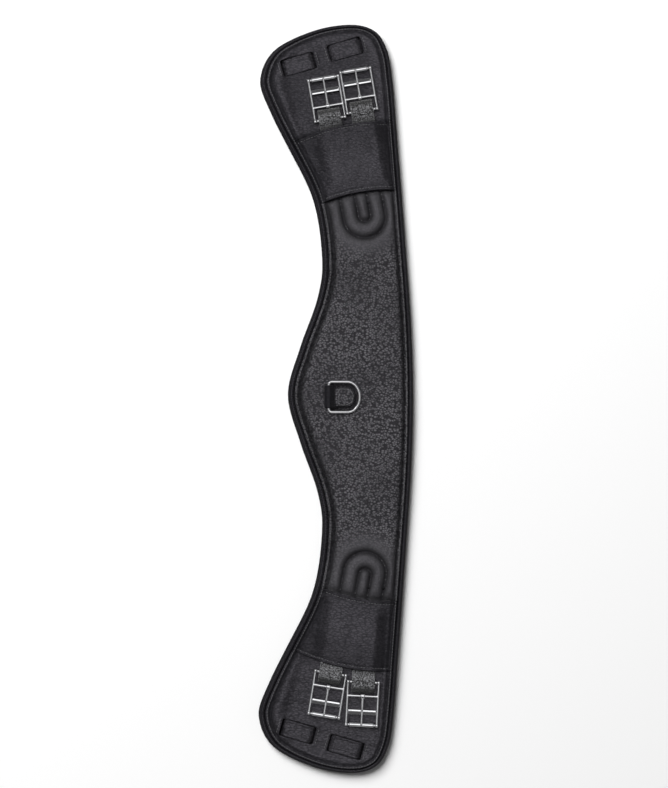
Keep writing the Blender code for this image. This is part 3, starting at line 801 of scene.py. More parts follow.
LINING = leather(
    "smooth_lining_leather", color=(0.0085, 0.0080, 0.0094), crease_color=(0.004, 0.004, 0.005),
    roughness=0.24, cell=1.8, depth=0.10, specular=0.50, wrinkle=0.5, lump=0.08, mottle=0.4, stretch=0.7,
)
PEBBLE = leather(
    "pebbled_front_leather", color=(0.082, 0.080, 0.086), crease_color=(0.004, 0.004, 0.0045),
    roughness=0.30, cell=1.9, depth=0.55, specular=0.60, wrinkle=0.5, lump=0.28, mottle=0.9, stretch=0.7,
)
SMOOTH = leather(
    "smooth_cover_leather", color=(0.0270, 0.0255, 0.0292), crease_color=(0.005, 0.005, 0.006),
    roughness=0.29, cell=1.8, depth=0.16, specular=0.52, wrinkle=2.2, lump=0.20, mottle=0.4, stretch=0.42,
)
STEEL = steel("polished_stainless_steel", (0.64, 0.64, 0.66), 0.08)
ELASTIC = elastic("black_strap_elastic", (0.058, 0.058, 0.061))
FOAM = cloth("dark_foam", (0.02, 0.02, 0.022), 0.8)
WEB = cloth("black_webbing", (0.015, 0.015, 0.016), 1.1)


def thread_finish():
    f = Finish("black_thread", (0.04, 0.04, 0.042), 0.5)
    twist = f.noise(4200.0, 2.0)
    f.set("Normal", f.bump(twist, 0.05 * MM))
    f.set("Base Color", f.mix(twist, (0.05, 0.05, 0.053), (0.16, 0.16, 0.165)))
    return f.material


THREAD = thread_finish()


# Stitching


def stitches(name, body, rows):
    """Rows of stitches. Each row is (points, height function): a stitch lies on the surface there."""
    rings = ((-1.0, 0.35), (-0.8, 0.8), (0.0, 1.0), (0.8, 0.8), (1.0, 0.35))
    angles = 2 * np.pi * np.arange(6) / 6
    pieces = []
    for line, height in rows:
        line = resample(line, STITCH_PITCH)
        middle = (line[1:] + line[:-1]) / 2
        along = unit(line[1:] - line[:-1])
        across = left_of(along)
        ends = [height(middle + along * s * STITCH_LENGTH / 2) for s in (-1, 0, 1)]
        for i, centre in enumerate(middle):
            loops = []
            for at, fat in rings:
                z = np.interp(at, (-1, 0, 1), [e[i] for e in ends]) - 0.10 * at * at + 0.06
                radius = THREAD_RADIUS * fat
                place = centre + along[i] * at * STITCH_LENGTH / 2
                offset = np.outer(np.cos(angles) * radius, across[i])
                loops.append(np.column_stack([place + offset, z + np.sin(angles) * radius]))
            pieces.append(sweep(loops))
    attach(outward(mesh_object(name, *joined(pieces), THREAD)), body)


# The padded body


def make_lining():
    """The lining leather: flat under the girth, rolled round its edge and in under the front leather."""
    section = np.vstack([spline(RIM_OUTER, 5), RIM_INNER])
    loops = []
    wave = np.cumsum(np.hypot(*np.diff(OUTLINE.points, axis=0, append=OUTLINE.points[:1]).T))
    keep = np.arange(0, len(OUTLINE.points), 2)
    for inset, z in section:
        dimple = 0.05 * smooth_step((inset - 3.5) / 3) * np.cos(2 * np.pi * wave / STITCH_PITCH)
        soft = 0.10 * np.sin(wave / 31.0) + 0.06 * np.sin(wave / 13.0 + 1.0)
        height = z + (dimple + soft * (z > 8)) if z > 6 else np.full(len(wave), z)
        loops.append(np.column_stack([OUTLINE.line(inset), height])[keep])
    lining = outward(mesh_object("rolled_lining", *sweep(loops), LINING))
    hand_over(lining, "root", "lining_leather")


PANEL, FACING, COVER = (
    profile(TURNED_EDGE + rest) for rest in (PANEL_PROFILE, FACING_PROFILE, COVER_PROFILE)
)


def quilt_distance(points, half_width, closed_end):
    """Distance to one U of quilting, at the nearer end."""
    lean = math.radians(QUILT_LEAN)
    x = points[:, 0] - QUILT_X
    y = np.abs(points[:, 1]) - (closed_end + half_width)
    p = x * math.cos(lean) + y * math.sin(lean)
    q = -x * math.sin(lean) + y * math.cos(lean)
    return np.where(q < 0, np.abs(np.hypot(p, q) - half_width), np.abs(np.abs(p) - half_width))


def nearest_quilt(points):
    return np.min([quilt_distance(points, *u) for u in (QUILT_OUTER, QUILT_INNER)], axis=0)


def panel_height(points):
    """The turned edge and groove, and a puffed middle that the root seams and the quilting pull down."""
    inset = OUTLINE.inset(points)
    edge = np.where(inset < SEAM_END[0], PANEL(inset), np.minimum(PANEL(inset), SEAM_END[1]))
    puff = PANEL(inset) - edge
    sign = np.sign(points[:, 1])
    short = -beyond_arc(ROOT_ARC, points, sign) - ROOT_LAP
    rise = 1 - np.exp(-((np.clip(short, 0, None) / 5.0) ** 1.4))
    quilt = np.ones(len(points))
    for half_width, closed_end in (QUILT_OUTER, QUILT_INNER):
        away = quilt_distance(points, half_width, closed_end)
        quilt *= 1 - QUILT_DEPTH * np.exp(-((away / QUILT_WIDTH) ** 1.25))
    soft = 0.12 * np.sin(points[:, 0] / 9.0 + points[:, 1] / 23.0) * np.sin(points[:, 1] / 17.0)
    return edge + (puff + soft * smooth_step(puff / 3)) * rise * quilt


def seam_painted_shade(points, reach):
    """The band between the turned edge and the swelling inside it, where painted shade goes."""
    inset = OUTLINE.inset(points)
    start, full = SEAM_BAND
    return smooth_step((inset - start) / 1.3) * (1 - smooth_step((inset - full) / (reach - full)))


def panel_painted_shade(points):
    """Painted shade in the seam's band and the quilting's grooves, and a painted shadow under the D-ring."""
    quilt = nearest_quilt(points)
    ground = hinge_place("d_ring_swing")[:2]
    x, y = np.abs((points - ground - [RING_GROUND_AT, 0.0]) / RING_GROUND_SIZE).T
    ring = 1 - smooth_step(((x**3 + y**3) ** (1 / 3) - 0.78) / 0.24)
    lines = [seam_painted_shade(points, 16.5), bump(quilt, 2.6)]
    return np.max([PANEL_SHADE * lines[0], PANEL_SHADE * lines[1], RING_SHADE * ring], axis=0)


def panel_taut(points):
    """The leather is drawn tight between and around the quilting."""
    return TAUT * (1 - smooth_step((nearest_quilt(points) - TAUT_FROM) / TAUT_FADE))


def tongued(arc, side_shift, lap, sign):
    """The end of a piece that laps under another: flush at its edges, longer between them."""
    halves = []
    for side in (-1, 1):
        level = meeting(arc, side, EDGE_INSET, side_shift) * sign
        corner = OUTLINE.edge(side, EDGE_INSET, level, level)[0]
        shifts = (side_shift, side_shift + lap)
        levels = [meeting(arc, side, UNDERLAP_INSET, shift) * sign for shift in shifts]
        step = OUTLINE.edge(side, UNDERLAP_INSET, *levels)
        halves.append((corner, step))
    (front_corner, front_step), (rear_corner, rear_step) = halves
    return np.vstack(
        [
            arc_line(arc, front_corner[0], front_step[0, 0], side_shift, sign)[:-1],
            front_step,
            arc_line(arc, front_step[-1, 0], rear_step[-1, 0], side_shift + lap, sign)[1:-1],
            rear_step[::-1],
            arc_line(arc, rear_step[0, 0], rear_corner[0], side_shift, sign)[1:],
        ]
    )


def make_panel():
    near, off = (tongued(ROOT_ARC, -ROOT_LAP - BUTT_GAP, UNDERLAP, sign) for sign in (1, -1))
    front, rear = (
        OUTLINE.edge(side, EDGE_INSET, off[end, 1] + 1, near[end, 1] - 1) for side, end in ((-1, 0), (1, -1))
    )
    boundary = np.vstack([front, near, rear[::-1], off[::-1]])
    name = "pebbled_front_panel"
    panel = leather_sheet(name, boundary, panel_height, PEBBLE, spacing=1.9, painted_shade=panel_painted_shade)
    points = np.array([v.co[:2] for v in panel.data.vertices]) / MM
    shade(panel, panel_taut(points), "taut")
    hand_over(panel, "root", "front_leather")


def make_wadding():
    """The wadding: one layer that follows the underside of the front panel."""
    end = meeting(ROOT_ARC, 1, WADDING_INSET, -4.0) - 8
    front, rear = (OUTLINE.edge(side, WADDING_INSET, -end, end) for side in (-1, 1))
    boundary = np.vstack([front, rear[::-1]])

    def height(points):
        return panel_height(points) - LEATHER - WADDING_GAP

    wadding = leather_sheet("quilted_wadding", boundary, height, FOAM, spacing=2.2, thickness=WADDING)
    hand_over(wadding, "root", "front_wadding")


def mouth_shade(end, points):
    """The shade of the cover's mouth on what comes out of it."""
    past = np.clip(beyond_arc(MOUTH_ARC, points, ENDS[end]), 0, None)
    return MOUTH_SHADE[end] * (1 - smooth_step(past / 7.0))


def strap_edges(end):
    """(x of the outer edge of the front strap, x of that of the rear strap) as functions of y."""
    lines = []
    for which, side in (("front", -1), ("rear", 1)):
        x, y, _ = hinge_place(f"{end}_{which}_frame_swing")
        out = joint(f"{end}_{which}_strap_stretch")["axis"]
        half = side * STRAP_WIDTH / 2 / abs(out[1])
        lines.append((x + half, y, out[0] / out[1]))
    return [lambda at, line=line: line[0] + (at - line[1]) * line[2] for line in lines]


def cover_surface(end):
    """(height, painted shade) of a cover that swells over its straps and falls away at both sides."""
    sign = ENDS[end]
    front_edge, rear_edge = strap_edges(end)

    def slopes(points):
        x, y = points.T
        (front_from, front_width), (rear_from, rear_width) = COVER_SLOPES
        left = smooth_step((x - front_edge(y) + front_from) / front_width)
        right = smooth_step((rear_edge(y) + rear_from - x) / rear_width)
        return left, right

    # Painted shade on the flanks, slopes and hem groove, with the crown's middle left lighter as a painted
    # highlight.
    def painted_shade(points):
        left, right = slopes(points)
        root = beyond_arc(ROOT_ARC, points, sign)
        top = left * right
        flats_shade = COVER_PAINTED_SHADE * (1 - top * bump(root - 26.0, 20.0)) + COVER_FLANK_PAINTED_SHADE * (1 - top)
        mouth = 0.6 * bump(-beyond_arc(MOUTH_ARC, points, sign) - 3.0, 1.2)
        slope = COVER_SLOPE_SHADE * (left * (1 - left) + right * (1 - right))
        return np.max([flats_shade, mouth, slope, 0.8 * seam_painted_shade(points, 15.0)], axis=0)

    def height(points):
        inset = OUTLINE.inset(points)
        base = COVER(inset)
        x, y = points.T
        left, right = slopes(points)
        bulge = left * right * smooth_step((inset - 11.0) / 4.0)
        root = beyond_arc(ROOT_ARC, points, sign) + ROOT_LAP
        mouth = -beyond_arc(MOUTH_ARC, points, sign)
        sag = COVER_SAG * bump(x - 0.5 * (front_edge(y) + rear_edge(y)), 4.0) * smooth_step((root - 12) / 20)
        lap = ROOT_STEP * smooth_step((inset - 8.5) / 5.0) * (1 - smooth_step((root - 5.0) / 16.0))
        low = COVER_CROWN - COVER_RISE
        crown = low + COVER_RISE * (1 - np.exp(-np.clip(root, 0, None) / 16.0)) - sag
        body = base + lap + (crown - base - lap) * bulge
        ridge = COVER_RIDGE * bump(root - 1.2, 1.2) - COVER_RIDGE * bump(root - 3.6, 1.1)
        hem = COVER_HEM * bump(mouth - 1.1, 1.1) - COVER_HEM_GROOVE * bump(mouth - 3.0, 1.0)
        folds = np.sin(x / 7.0 + y / 19.0 + 1.0) * np.sin(y / 11.0) + 0.5 * np.sin(x / 3.1 - y / 13.0)
        drape = COVER_FOLDS * folds * bulge
        return body + (ridge + hem) * smooth_step((inset - 8.2) / 2.0) + drape

    return height, painted_shade


def make_cover(end):
    sign = ENDS[end]
    edges = {}
    for side in (-1, 1):
        low = meeting(ROOT_ARC, side, EDGE_INSET, -ROOT_LAP)
        high = meeting(MOUTH_ARC, side, EDGE_INSET, 0.0)
        edges[side] = OUTLINE.edge(side, EDGE_INSET, low * sign, high * sign)
    root = arc_line(ROOT_ARC, edges[-1][0, 0], edges[1][0, 0], -ROOT_LAP, sign)
    mouth = arc_line(MOUTH_ARC, edges[-1][-1, 0], edges[1][-1, 0], 0.0, sign)
    boundary = np.vstack([edges[-1], mouth[1:-1], edges[1][::-1], root[::-1][1:-1]])
    height, painted_shade = cover_surface(end)
    cover = leather_sheet(f"{end}_strap_cover_leather", boundary, height, SMOOTH, spacing=1.6, painted_shade=painted_shade)
    hand_over(cover, "root", f"{end}_strap_cover")
    return height, edges


def keeper_place(name, sign):
    x, y = KEEPERS[name]
    turn = Matrix.Rotation(math.radians(KEEPER_SLOPE * sign), 4, "Z")
    return Matrix.Translation((x, y * sign, 0.0)) @ turn


def rounded_rectangle(size, corner):
    half_x, half_y = size[0] / 2 - corner, size[1] / 2 - corner
    arcs = []
    for start, (x, y) in zip((0, 90, 180, 270), ((1, 1), (-1, 1), (-1, -1), (1, -1))):
        arcs.append(arc_points((x * half_x, y * half_y), (corner, corner), start, start + 90, 5))
    return resample(np.vstack(arcs), 0.8, closed=True)


def facing_height(end):
    """The height of a facing: swollen along its front edge, with a raised lip round each window."""
    sign = ENDS[end]
    places = [np.linalg.inv(np.array(keeper_place(name, sign))) for name in KEEPERS]

    def height(points):
        inset = OUTLINE.inset(points)
        past = beyond_arc(MOUTH_ARC, points, sign)
        front = smooth_step((FACING_SWELL_FROM - points[:, 0]) / 16.0)
        z = FACING(inset) + FACING_SWELL * front * bump(inset - FACING_SWELL_INSET, 7.0)
        for place in places:
            local = np.abs(flat(points, place)) - np.array(WINDOW) / 2
            out = np.hypot(*np.clip(local, 0, None).T) + np.minimum(local.max(1), 0)
            z = z + WINDOW_LIP * bump(out - 1.3, 1.5) + WINDOW_SWELL * bump(out - 5.5, 3.0)
        return np.where(past < 0, np.minimum(z, FACING_UNDER_COVER), z)

    return height


def make_facing(end):
    sign = ENDS[end]
    under = tongued(MOUTH_ARC, BUTT_GAP, -POCKET_DEPTH, sign)
    ring = OUTLINE.line(EDGE_INSET)
    tip = ring[beyond_arc(MOUTH_ARC, ring, sign) > 1.0]
    gap = np.hypot(*np.diff(tip, axis=0, append=tip[:1]).T)
    tip = np.roll(tip, -(int(np.argmax(gap)) + 1), axis=0)
    if np.hypot(*(tip[-1] - under[0])) > np.hypot(*(tip[-1] - under[-1])):
        under = under[::-1]
    boundary = np.vstack([tip, under])
    window = rounded_rectangle(WINDOW, WINDOW_CORNER)
    holes = [flat(window, keeper_place(name, sign)) for name in KEEPERS]
    height = facing_height(end)

    # Painted shade in the facing's middle, along the seam's band and under the cover's mouth.
    def painted_shade(points):
        middle = FACING_SHADE[end] * smooth_step((OUTLINE.inset(points) - 20.0) / 14.0)
        return np.max([middle, 0.9 * seam_painted_shade(points, 15.5), mouth_shade(end, points)], axis=0)

    facing = leather_sheet(f"{end}_end_facing_leather", boundary, height, SMOOTH, holes, painted_shade=painted_shade)
    hand_over(facing, "root", f"{end}_end_facing")
    return height


def make_keeper(end, name):
    """A band arched across its window, with rolled long edges and its ends tucked under."""
    half_x, half_y = KEEPER_BAND[0] / 2, KEEPER_BAND[1] / 2

    def height(points):
        x, y = np.abs(points).T
        rise = np.sin(np.clip((WINDOW[0] / 2 + 0.2 - x) / KEEPER_RISE_LENGTH, 0, 1) * np.pi / 2)
        rolled = 0.35 * bump(half_y - 1.2 - y, 0.9) - 0.12 * bump(half_y - 2.8 - y, 0.7)
        return KEEPER_TUCK + (KEEPER_CROWN - KEEPER_TUCK) * rise + rolled * rise

    corners = [(-half_x, -half_y), (half_x, -half_y), (half_x, half_y), (-half_x, half_y)]
    boundary = resample(corners, 0.7, closed=True)
    place = keeper_place(name, ENDS[end])
    sheet = f"{end}_{name}_keeper_band"
    band = leather_sheet(sheet, boundary, height, SMOOTH, spacing=0.9, thickness=KEEPER_LEATHER, place=place)
    hand_over(band, "root", f"{end}_{name}_keeper")


def make_body_stitching(cover_heights, facing_heights, cover_edges):
    """The perimeter seam, the covers' root and mouth rows, and a row beside each end of each keeper window.
    """
    seam = OUTLINE.line(SEAM_STITCH_INSET)

    def seam_height(points):
        inset = OUTLINE.inset(points)
        z = PANEL(inset)
        for end, sign in ENDS.items():
            past_root = beyond_arc(ROOT_ARC, points, sign) > 0
            past_mouth = beyond_arc(MOUTH_ARC, points, sign) > 0
            z = np.where(past_root, cover_heights[end](points), z)
            z = np.where(past_mouth, facing_heights[end](points), z)
        return z

    stitches("perimeter_stitching", "root", [(np.vstack([seam, seam[:1]]), seam_height)])
    for end, sign in ENDS.items():
        front, rear = cover_edges[end][-1], cover_edges[end][1]
        rows = []
        root_setback, mouth_setback = COVER_STITCH_SETBACKS
        for arc, shift, index in ((ROOT_ARC, root_setback - ROOT_LAP, 0), (MOUTH_ARC, -mouth_setback, -1)):
            row = arc_line(arc, front[index, 0] + 4.5, rear[index, 0] - 3.5, shift, sign)
            rows.append((row, cover_heights[end]))
        stitches(f"{end}_cover_stitching", "root", rows)
        rows = []
        for name in KEEPERS:
            for side in (-1, 1):
                x = side * (WINDOW[0] / 2 + WINDOW_STITCH_OFFSET)
                ends = [(x, -WINDOW[1] / 2 + 1), (x, WINDOW[1] / 2 - 1)]
                rows.append((flat(resample(ends, 0.5), keeper_place(name, sign)), facing_heights[end]))
        stitches(f"{end}_keeper_stitching", "root", rows)


def make_quilt_stitching():
    """Stitches along the bottom of each U."""
    rows = []
    lean = math.radians(QUILT_LEAN)
    for sign in (1, -1):
        for half_width, closed_end in (QUILT_OUTER, QUILT_INNER):
            bend = arc_points((0, 0), (half_width, half_width), 180, 360, 60)
            line = np.vstack([[(-half_width, QUILT_LEGS)], bend, [(half_width, QUILT_LEGS)]])
            x, y = resample(line, 0.5).T
            turned = [x * math.cos(lean) - y * math.sin(lean), x * math.sin(lean) + y * math.cos(lean)]
            line = np.stack(turned, axis=1) + [QUILT_X, closed_end + half_width]
            line = line[beyond_arc(ROOT_ARC, line, 1) < -ROOT_LAP - 2.5]
            rows.append((line * [1, sign], panel_height))
    stitches("quilt_stitching", "root", rows)


# The buckles


def buckle_place(name):
    """A buckle's own axes at rest: its end bar's centre, X along the bar, Y out along the strap."""
    across = np.array(joint(f"{name}_frame_swing")["axis"])
    out = np.array(joint(f"{name}_strap_stretch")["axis"])
    m = np.eye(4)
    m[:3, 0], m[:3, 1], m[:3, 2] = across, out, np.cross(across, out)
    m[:3, 3] = hinge_place(f"{name}_frame_swing")
    return m


def band_section(path, thickness, half_widths):
    """(vertices, faces) of a flat strap with rounded edges, along a path in the Y-Z plane."""
    radius = thickness / 2
    turn = np.radians(np.linspace(-90, 90, 7))
    sections = []
    for place, normal, half in zip(path, left_of(unit(np.gradient(path, axis=0))), half_widths):
        flat_half = half - radius
        across = np.linspace(flat_half, -flat_half, 16)[1:-1]
        xs = np.concatenate([flat_half + radius * np.cos(turn), across])
        zs = np.concatenate([radius * np.sin(turn), np.full(len(across), radius)])
        xs, zs = np.concatenate([xs, -xs]), np.concatenate([zs, -zs])
        sections.append(np.column_stack([xs, place[0] + normal[0] * zs, place[1] + normal[1] * zs]))
    return sweep(sections)


def strap_path():
    """Out along the lower ply, round the end bar and back along the upper one."""
    radius = LOOP_RADIUS - STRAP_PLY / 2
    lower = [(STRAP_BACK + i * 2.0, -radius) for i in range(int(-STRAP_BACK / 2) + 1)]
    loop = arc_points((FOLD_PAST_BAR, 0), (FOLD_REACH, radius), -90, 90, 26)
    top = -LOOP_RADIUS + 1.56 * STRAP_PLY
    rest = spline([loop[-1], (0.2, radius), (-2.4, 2.1), (-5.0, 0.4), (-8.5, top), (-12.0, top)], 6)[1:]
    back = [(-14.0 - i * 2.0, top) for i in range(int((-STRAP_BACK - 12) / 2))]
    return np.vstack([lower, loop, rest, back])


def make_strap(name, place):
    """The doubled elastic between the girth and the buckle. Returns its path."""
    path = strap_path()
    vertices, faces = band_section(path, STRAP_PLY, [STRAP_WIDTH / 2] * len(path))
    strap = outward(mesh_object(f"{name}_elastic", transform(vertices, place), faces, ELASTIC))
    # Painted shade where the strap curls round the end bar and under the cover's mouth.
    mouth = mouth_shade(name.split("_")[0], transform(vertices, place)[:, :2])
    strap_painted_shade = np.maximum(smooth_step((vertices[:, 1] - 3.5) / 4.0), mouth)
    shade(strap, strap_painted_shade, "strap_painted_shade")
    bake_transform(strap)
    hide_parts(f"{name}_buckle_strap")
    return path


def frame_pieces():
    """Two rails with eyes at their ends, the end bar, tongue bar, roller bar and cross plate."""
    half = RAIL_HALF_SPACING
    pieces = []
    for at, radius in ((0.0, BAR_RADIUS), (TONGUE_BAR_AT, TONGUE_BAR_RADIUS), (ROLLER_AT, BAR_RADIUS)):
        pieces.append(rod([(-half, at, 0), (half, at, 0)], [radius] * 2))
    for side in (-1, 1):
        x = side * half
        pieces.append(rod([(x, 0, 0), (x, ROLLER_AT, 0)], [RAIL_RADIUS] * 2))
        for at, (radius, length, rounding) in ((0.0, EYE), (ROLLER_AT, ROLLER_EYE)):
            pieces.append(round_ended((x - length, at, 0), (x + length, at, 0), radius, rounding))
    top = [(PLATE_HALF_WIDTH * t, 0.1 - 0.45 * t - 0.25 * t * t) for t in np.linspace(-1, 1, 9)]
    section = np.array(top + [(PLATE_HALF_WIDTH, PLATE_UNDERSIDE), (-PLATE_HALF_WIDTH, PLATE_UNDERSIDE)])
    ends = [np.column_stack([np.full(len(section), x), section]) for x in (-half, half)]
    vertices, faces = sweep(ends)
    pieces.append((vertices + [0, PLATE_AT, 0], faces))
    return pieces


def tongue_pieces():
    """A bent, tapering wire that rests on the roller, and its knuckle round the tongue bar."""
    roller = ROLLER_AT - TONGUE_BAR_AT
    rest = ROLLER_RADIUS + TURNING_GAP + TONGUE_TIP_RADIUS
    knots = [(2.0, 0.7), (6.0, 1.55), (13.5, 1.8), (20.0, 2.1)]
    knots += [(25.5, rest - 0.5), (roller, rest), (TONGUE_TIP, rest - 0.1)]
    curve = spline(knots, 8)
    path = np.column_stack([np.zeros(len(curve)), curve])
    radii = np.interp(curve[:, 0], [2, 6, 13, 26, 29.5, TONGUE_TIP], [1.6, 1.35, 1.2, 1.1, 0.85, 0.5])
    return [rod(path, radii), tube(*KNUCKLE)]


def make_buckles():
    shapes = {
        "frame": (fused("frame_shape", frame_pieces(), voxel=0.3, smoothing=4), 0.0),
        "tongue": (fused("tongue_shape", tongue_pieces(), voxel=0.25, smoothing=3), TONGUE_BAR_AT),
    }
    roller_vertices, roller_faces = tube(ROLLER_RADIUS, BAR_RADIUS + TURNING_GAP, ROLLER_LENGTH / 2, 0.5, 48)
    for name in (f"{end}_{which}" for end in ENDS for which in ("front", "rear")):
        place = buckle_place(name)
        strap_row(name, place, make_strap(name, place))
        parts = {}
        for part, (shape, at) in shapes.items():
            points = np.array([v.co for v in shape.vertices]) / MM + [0, at, 0]
            mesh = shape.copy()
            mesh.vertices.foreach_set("co", (transform(points, place) * MM).ravel())
            mesh.update()
            parts[part] = placed(f"{name}_{part}", mesh)
        points = transform(roller_vertices + [0, ROLLER_AT, 0], place)
        parts["roller"] = outward(mesh_object(f"{name}_roller", points, roller_faces, STEEL))
        for part, obj in parts.items():
            hand_over(obj, f"{name}_{part}", f"{name}_buckle_{part}")


def strap_row(name, place, path):
    """One row of stitches across the strap, behind the end bar, holding its two plies together."""
    half = STRAP_WIDTH / 2 - 2
    line = transform([(x, STRAP_ROW_AT, 0) for x in np.linspace(-half, half, 40)], place)[:, :2]
    upper = path[len(path) // 2 :]
    top = float(np.interp(-STRAP_ROW_AT, -upper[:, 0], upper[:, 1])) + STRAP_PLY / 2 + place[2, 3]
    stitches(f"{name}_strap_stitching", f"{name}_strap", [(line, lambda p: np.full(len(p), top))])


# The D-ring


def make_ring():
    """The bent wire: a straight side on the hinge, two small corners and a bow, drooping a little."""
    half, corner = RING_HALF_WIDTH, RING_CORNER
    straight = np.linspace(half - corner, corner - half, 14)
    path = [
        np.column_stack([np.zeros(14), straight]),
        arc_points((corner, corner - half), (corner, corner), 180, 270, 9)[1:],
        arc_points((RING_STRAIGHT, 0), (RING_BOW, half), -90, 90, 49),
        arc_points((corner, half - corner), (corner, corner), 90, 180, 9)[:-1],
    ]
    path = resample(np.vstack(path), 1.0, closed=True)
    wire = np.column_stack([path, np.zeros(len(path))])
    vertices, faces = rod(wire, [RING_WIRE] * len(wire), closed=True)
    droop = Matrix.Rotation(math.radians(RING_DROOP), 4, "Y")
    vertices = transform(vertices, droop) + hinge_place("d_ring_swing")
    ring = outward(mesh_object("d_ring_wire", vertices, faces, STEEL))
    hand_over(ring, "d_ring", "d_ring")


def ring_tab_half(x, inset=0.0):
    """Half the width of the tab, or of a line inset from its edge, at a distance from the bar."""
    turn = np.clip((x - RING_TAB_LENGTH + RING_TAB_ROUND) / (RING_TAB_ROUND - inset), 0, 1)
    return (RING_TAB_HALF_WIDTH - inset) * np.sqrt(1 - turn**2)


def ring_tab_dome(x, y):
    """How far the tab swells in its middle."""
    across = np.clip(1 - (y / RING_TAB_HALF_WIDTH) ** 2, 0, 1)
    return RING_TAB_DOME * across * smooth_step((x - 6.0) / 3.0) * smooth_step((RING_TAB_LENGTH - x) / 5.0)


def make_ring_loop():
    """Smooth leather rolled round the bar, and a pebbled tab with a rounded end inside the D."""
    hinge = hinge_place("d_ring_swing")
    radius = RING_WIRE + TURNING_GAP + RING_PLY / 2
    loop = arc_points((0, 0), (RING_ROLL_REACH, radius), 270, 50, 30)
    low = -radius
    top = -radius + RING_PLY + 0.02
    straight_end = RING_TAB_LENGTH - RING_TAB_ROUND
    rounding = straight_end + RING_TAB_ROUND * np.sin(np.radians(np.linspace(0, 90, 14)))
    lower = [(x, low) for x in np.concatenate([rounding[::-1], np.linspace(straight_end - 1.0, 1.0, 14)])]
    upper = spline([loop[-1], (4.6, 0.1), (8.0, top), (11.0, top)], 6)[1:]
    back = [(x, top) for x in np.concatenate([np.linspace(12.0, straight_end - 1.0, 5), rounding])]
    path = np.vstack([lower, loop, upper, back])
    at = path[:, 0]
    halves = np.maximum(ring_tab_half(at), RING_PLY / 2 + 0.1)
    halves = np.where(at > RING_ROLL_END, halves, RING_LOOP_HALF_WIDTH)
    narrow = smooth_step((at - RING_ROLL_END) / 3.5)
    halves = RING_LOOP_HALF_WIDTH + (halves - RING_LOOP_HALF_WIDTH) * narrow
    vertices, faces = band_section(path, RING_PLY, halves)
    raised = vertices[:, 2] > low + 0.1
    vertices[:, 2] += raised * ring_tab_dome(vertices[:, 1], vertices[:, 0])
    turned = np.column_stack([vertices[:, 1], -vertices[:, 0], vertices[:, 2]]) + hinge
    loop = mesh_object("d_ring_leather_loop", turned, faces, PEBBLE, SMOOTH)
    for face in loop.data.polygons:
        face.material_index = int(face.center.x / MM < hinge[0] + RING_ROLL_END)
    outward(loop)
    # Painted shade on the roll round the bar and towards the tab's edges.
    x, y = vertices[:, 1], vertices[:, 0]
    edge = np.clip(ring_tab_dome(x, y) / RING_TAB_DOME, 0, 1)
    shade(loop, PANEL_SHADE - PANEL_SHADE * smooth_step(edge * 2.6))
    hand_over(loop, "root", "d_ring_loop")
    inset = RING_TAB_STITCH_INSET
    reach = straight_end + (RING_TAB_ROUND - inset) * np.sin(np.radians(np.linspace(0, 90, 30)))
    xs = np.concatenate([[RING_TAB_STITCH_FROM], reach])
    side = np.stack([xs, ring_tab_half(xs, inset)], axis=1)
    line = np.vstack([side, side[::-1] * [1, -1], side[:1]]) + hinge[:2]

    def height(points):
        x, y = (points - hinge[:2]).T
        return hinge[2] + top + RING_PLY / 2 + ring_tab_dome(x, y)

    stitches("d_ring_tab_stitching", "root", [(resample(line, 0.5), height)])


# Stage


def area_light(name, place, target, size, power, diffuse, glossy):
    light = bpy.data.lights.new(name, "AREA")
    light.shape = "RECTANGLE"
    light.size, light.size_y = size
    light.energy = power
    obj = placed(name, light)
    obj.location = place
    obj.rotation_euler = (Vector(target) - Vector(place)).to_track_quat("-Z", "Y").to_euler()
    obj.visible_diffuse = diffuse
    obj.visible_glossy = glossy


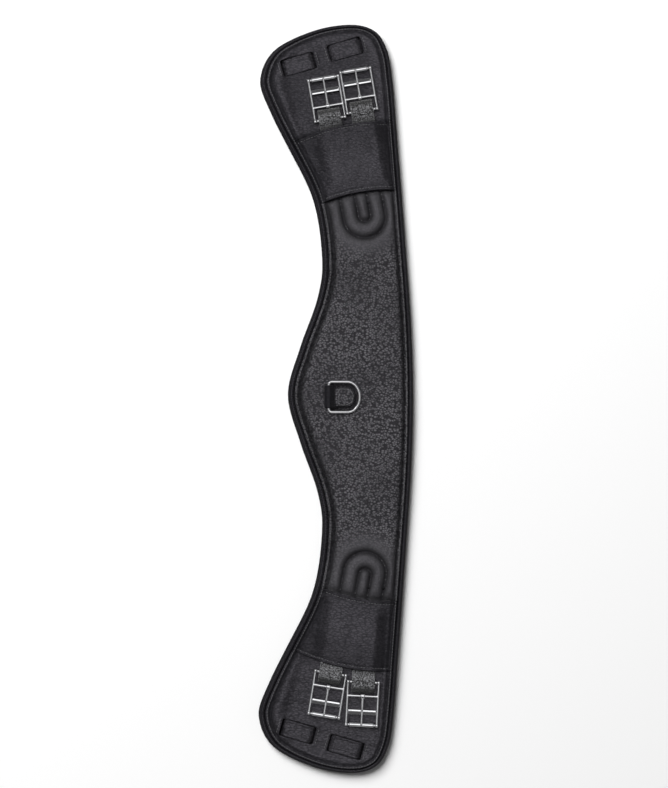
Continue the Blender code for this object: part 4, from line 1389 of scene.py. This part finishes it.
def make_world():
    """Dim for light. Reflections also see a paler band above the horizon, and the camera a pale wall."""
    light, bright, wall = ((level,) * 3 for level in (WORLD_LIGHT, WORLD_BAND, WORLD_WALL))
    world = bpy.data.worlds.new("studio")
    bpy.context.scene.world = world
    nodes = Nodes(world, "Background", "Generated")
    axes = nodes.add("ShaderNodeSeparateXYZ", {0: nodes.place})
    band = nodes.add("ShaderNodeValToRGB", {0: axes.outputs["Z"]})
    first, last = band.color_ramp.elements
    for element, at in ((first, 0.0), (last, 0.55)):
        element.position, element.color = at, (*light, 1)
    for at in (0.03, 0.40):
        band.color_ramp.elements.new(at).color = (*bright, 1)
    rays = nodes.add("ShaderNodeLightPath").outputs
    level = nodes.mix(rays["Is Glossy Ray"], light, band.outputs["Color"])
    nodes.set("Color", nodes.mix(rays["Is Camera Ray"], level, wall))


def make_stage():
    """A pale floor that reflections don't show, the lights and the world."""
    side = FLOOR_HALF_SIDE
    corners = [(-side, -side, 0), (side, -side, 0), (side, side, 0), (-side, side, 0)]
    mesh = bpy.data.meshes.new("floor")
    mesh.from_pydata(corners, [], [(0, 1, 2, 3)])
    mesh.materials.append(Finish("pale_floor", (0.93, 0.93, 0.93), 0.9, specular=0.1).material)
    floor = placed("floor", mesh)
    floor.visible_diffuse = floor.visible_glossy = False
    make_world()
    for name, light in LIGHTS.items():
        area_light(name, *light)


def make_camera():
    tilt = math.radians(CAMERA_TILT)
    camera = bpy.data.cameras.new("camera")
    camera.sensor_width = CAMERA_SENSOR
    camera.lens = CAMERA_SENSOR * CAMERA_DISTANCE / VIEW_HEIGHT
    camera.clip_start, camera.clip_end = 0.01, 50
    obj = placed("camera", camera)
    obj.location = Vector(CAMERA_AIM) + Vector((0, -math.sin(tilt), math.cos(tilt))) * CAMERA_DISTANCE
    obj.rotation_euler = (tilt, 0, 0)
    bpy.context.scene.camera = obj
    bpy.context.scene.view_settings.view_transform = "Standard"


def dress_hidden_nodes():
    """The padding and the webs stay as the CAD has them, with their own materials."""
    finishes = {"foam_padding": FOAM, "load_web": WEB, "near_anchor_tab": WEB, "off_anchor_tab": WEB}
    for node, finish in finishes.items():
        mesh = frame["nodes"][node].data
        mesh.materials.clear()
        mesh.materials.append(finish)


make_lining()
make_panel()
make_wadding()
cover_heights, cover_edges, facing_heights = {}, {}, {}
for end in ENDS:
    cover_heights[end], cover_edges[end] = make_cover(end)
    facing_heights[end] = make_facing(end)
    for keeper in KEEPERS:
        make_keeper(end, keeper)
make_body_stitching(cover_heights, facing_heights, cover_edges)
make_quilt_stitching()
make_buckles()
make_ring()
make_ring_loop()
dress_hidden_nodes()
make_stage()
make_camera()
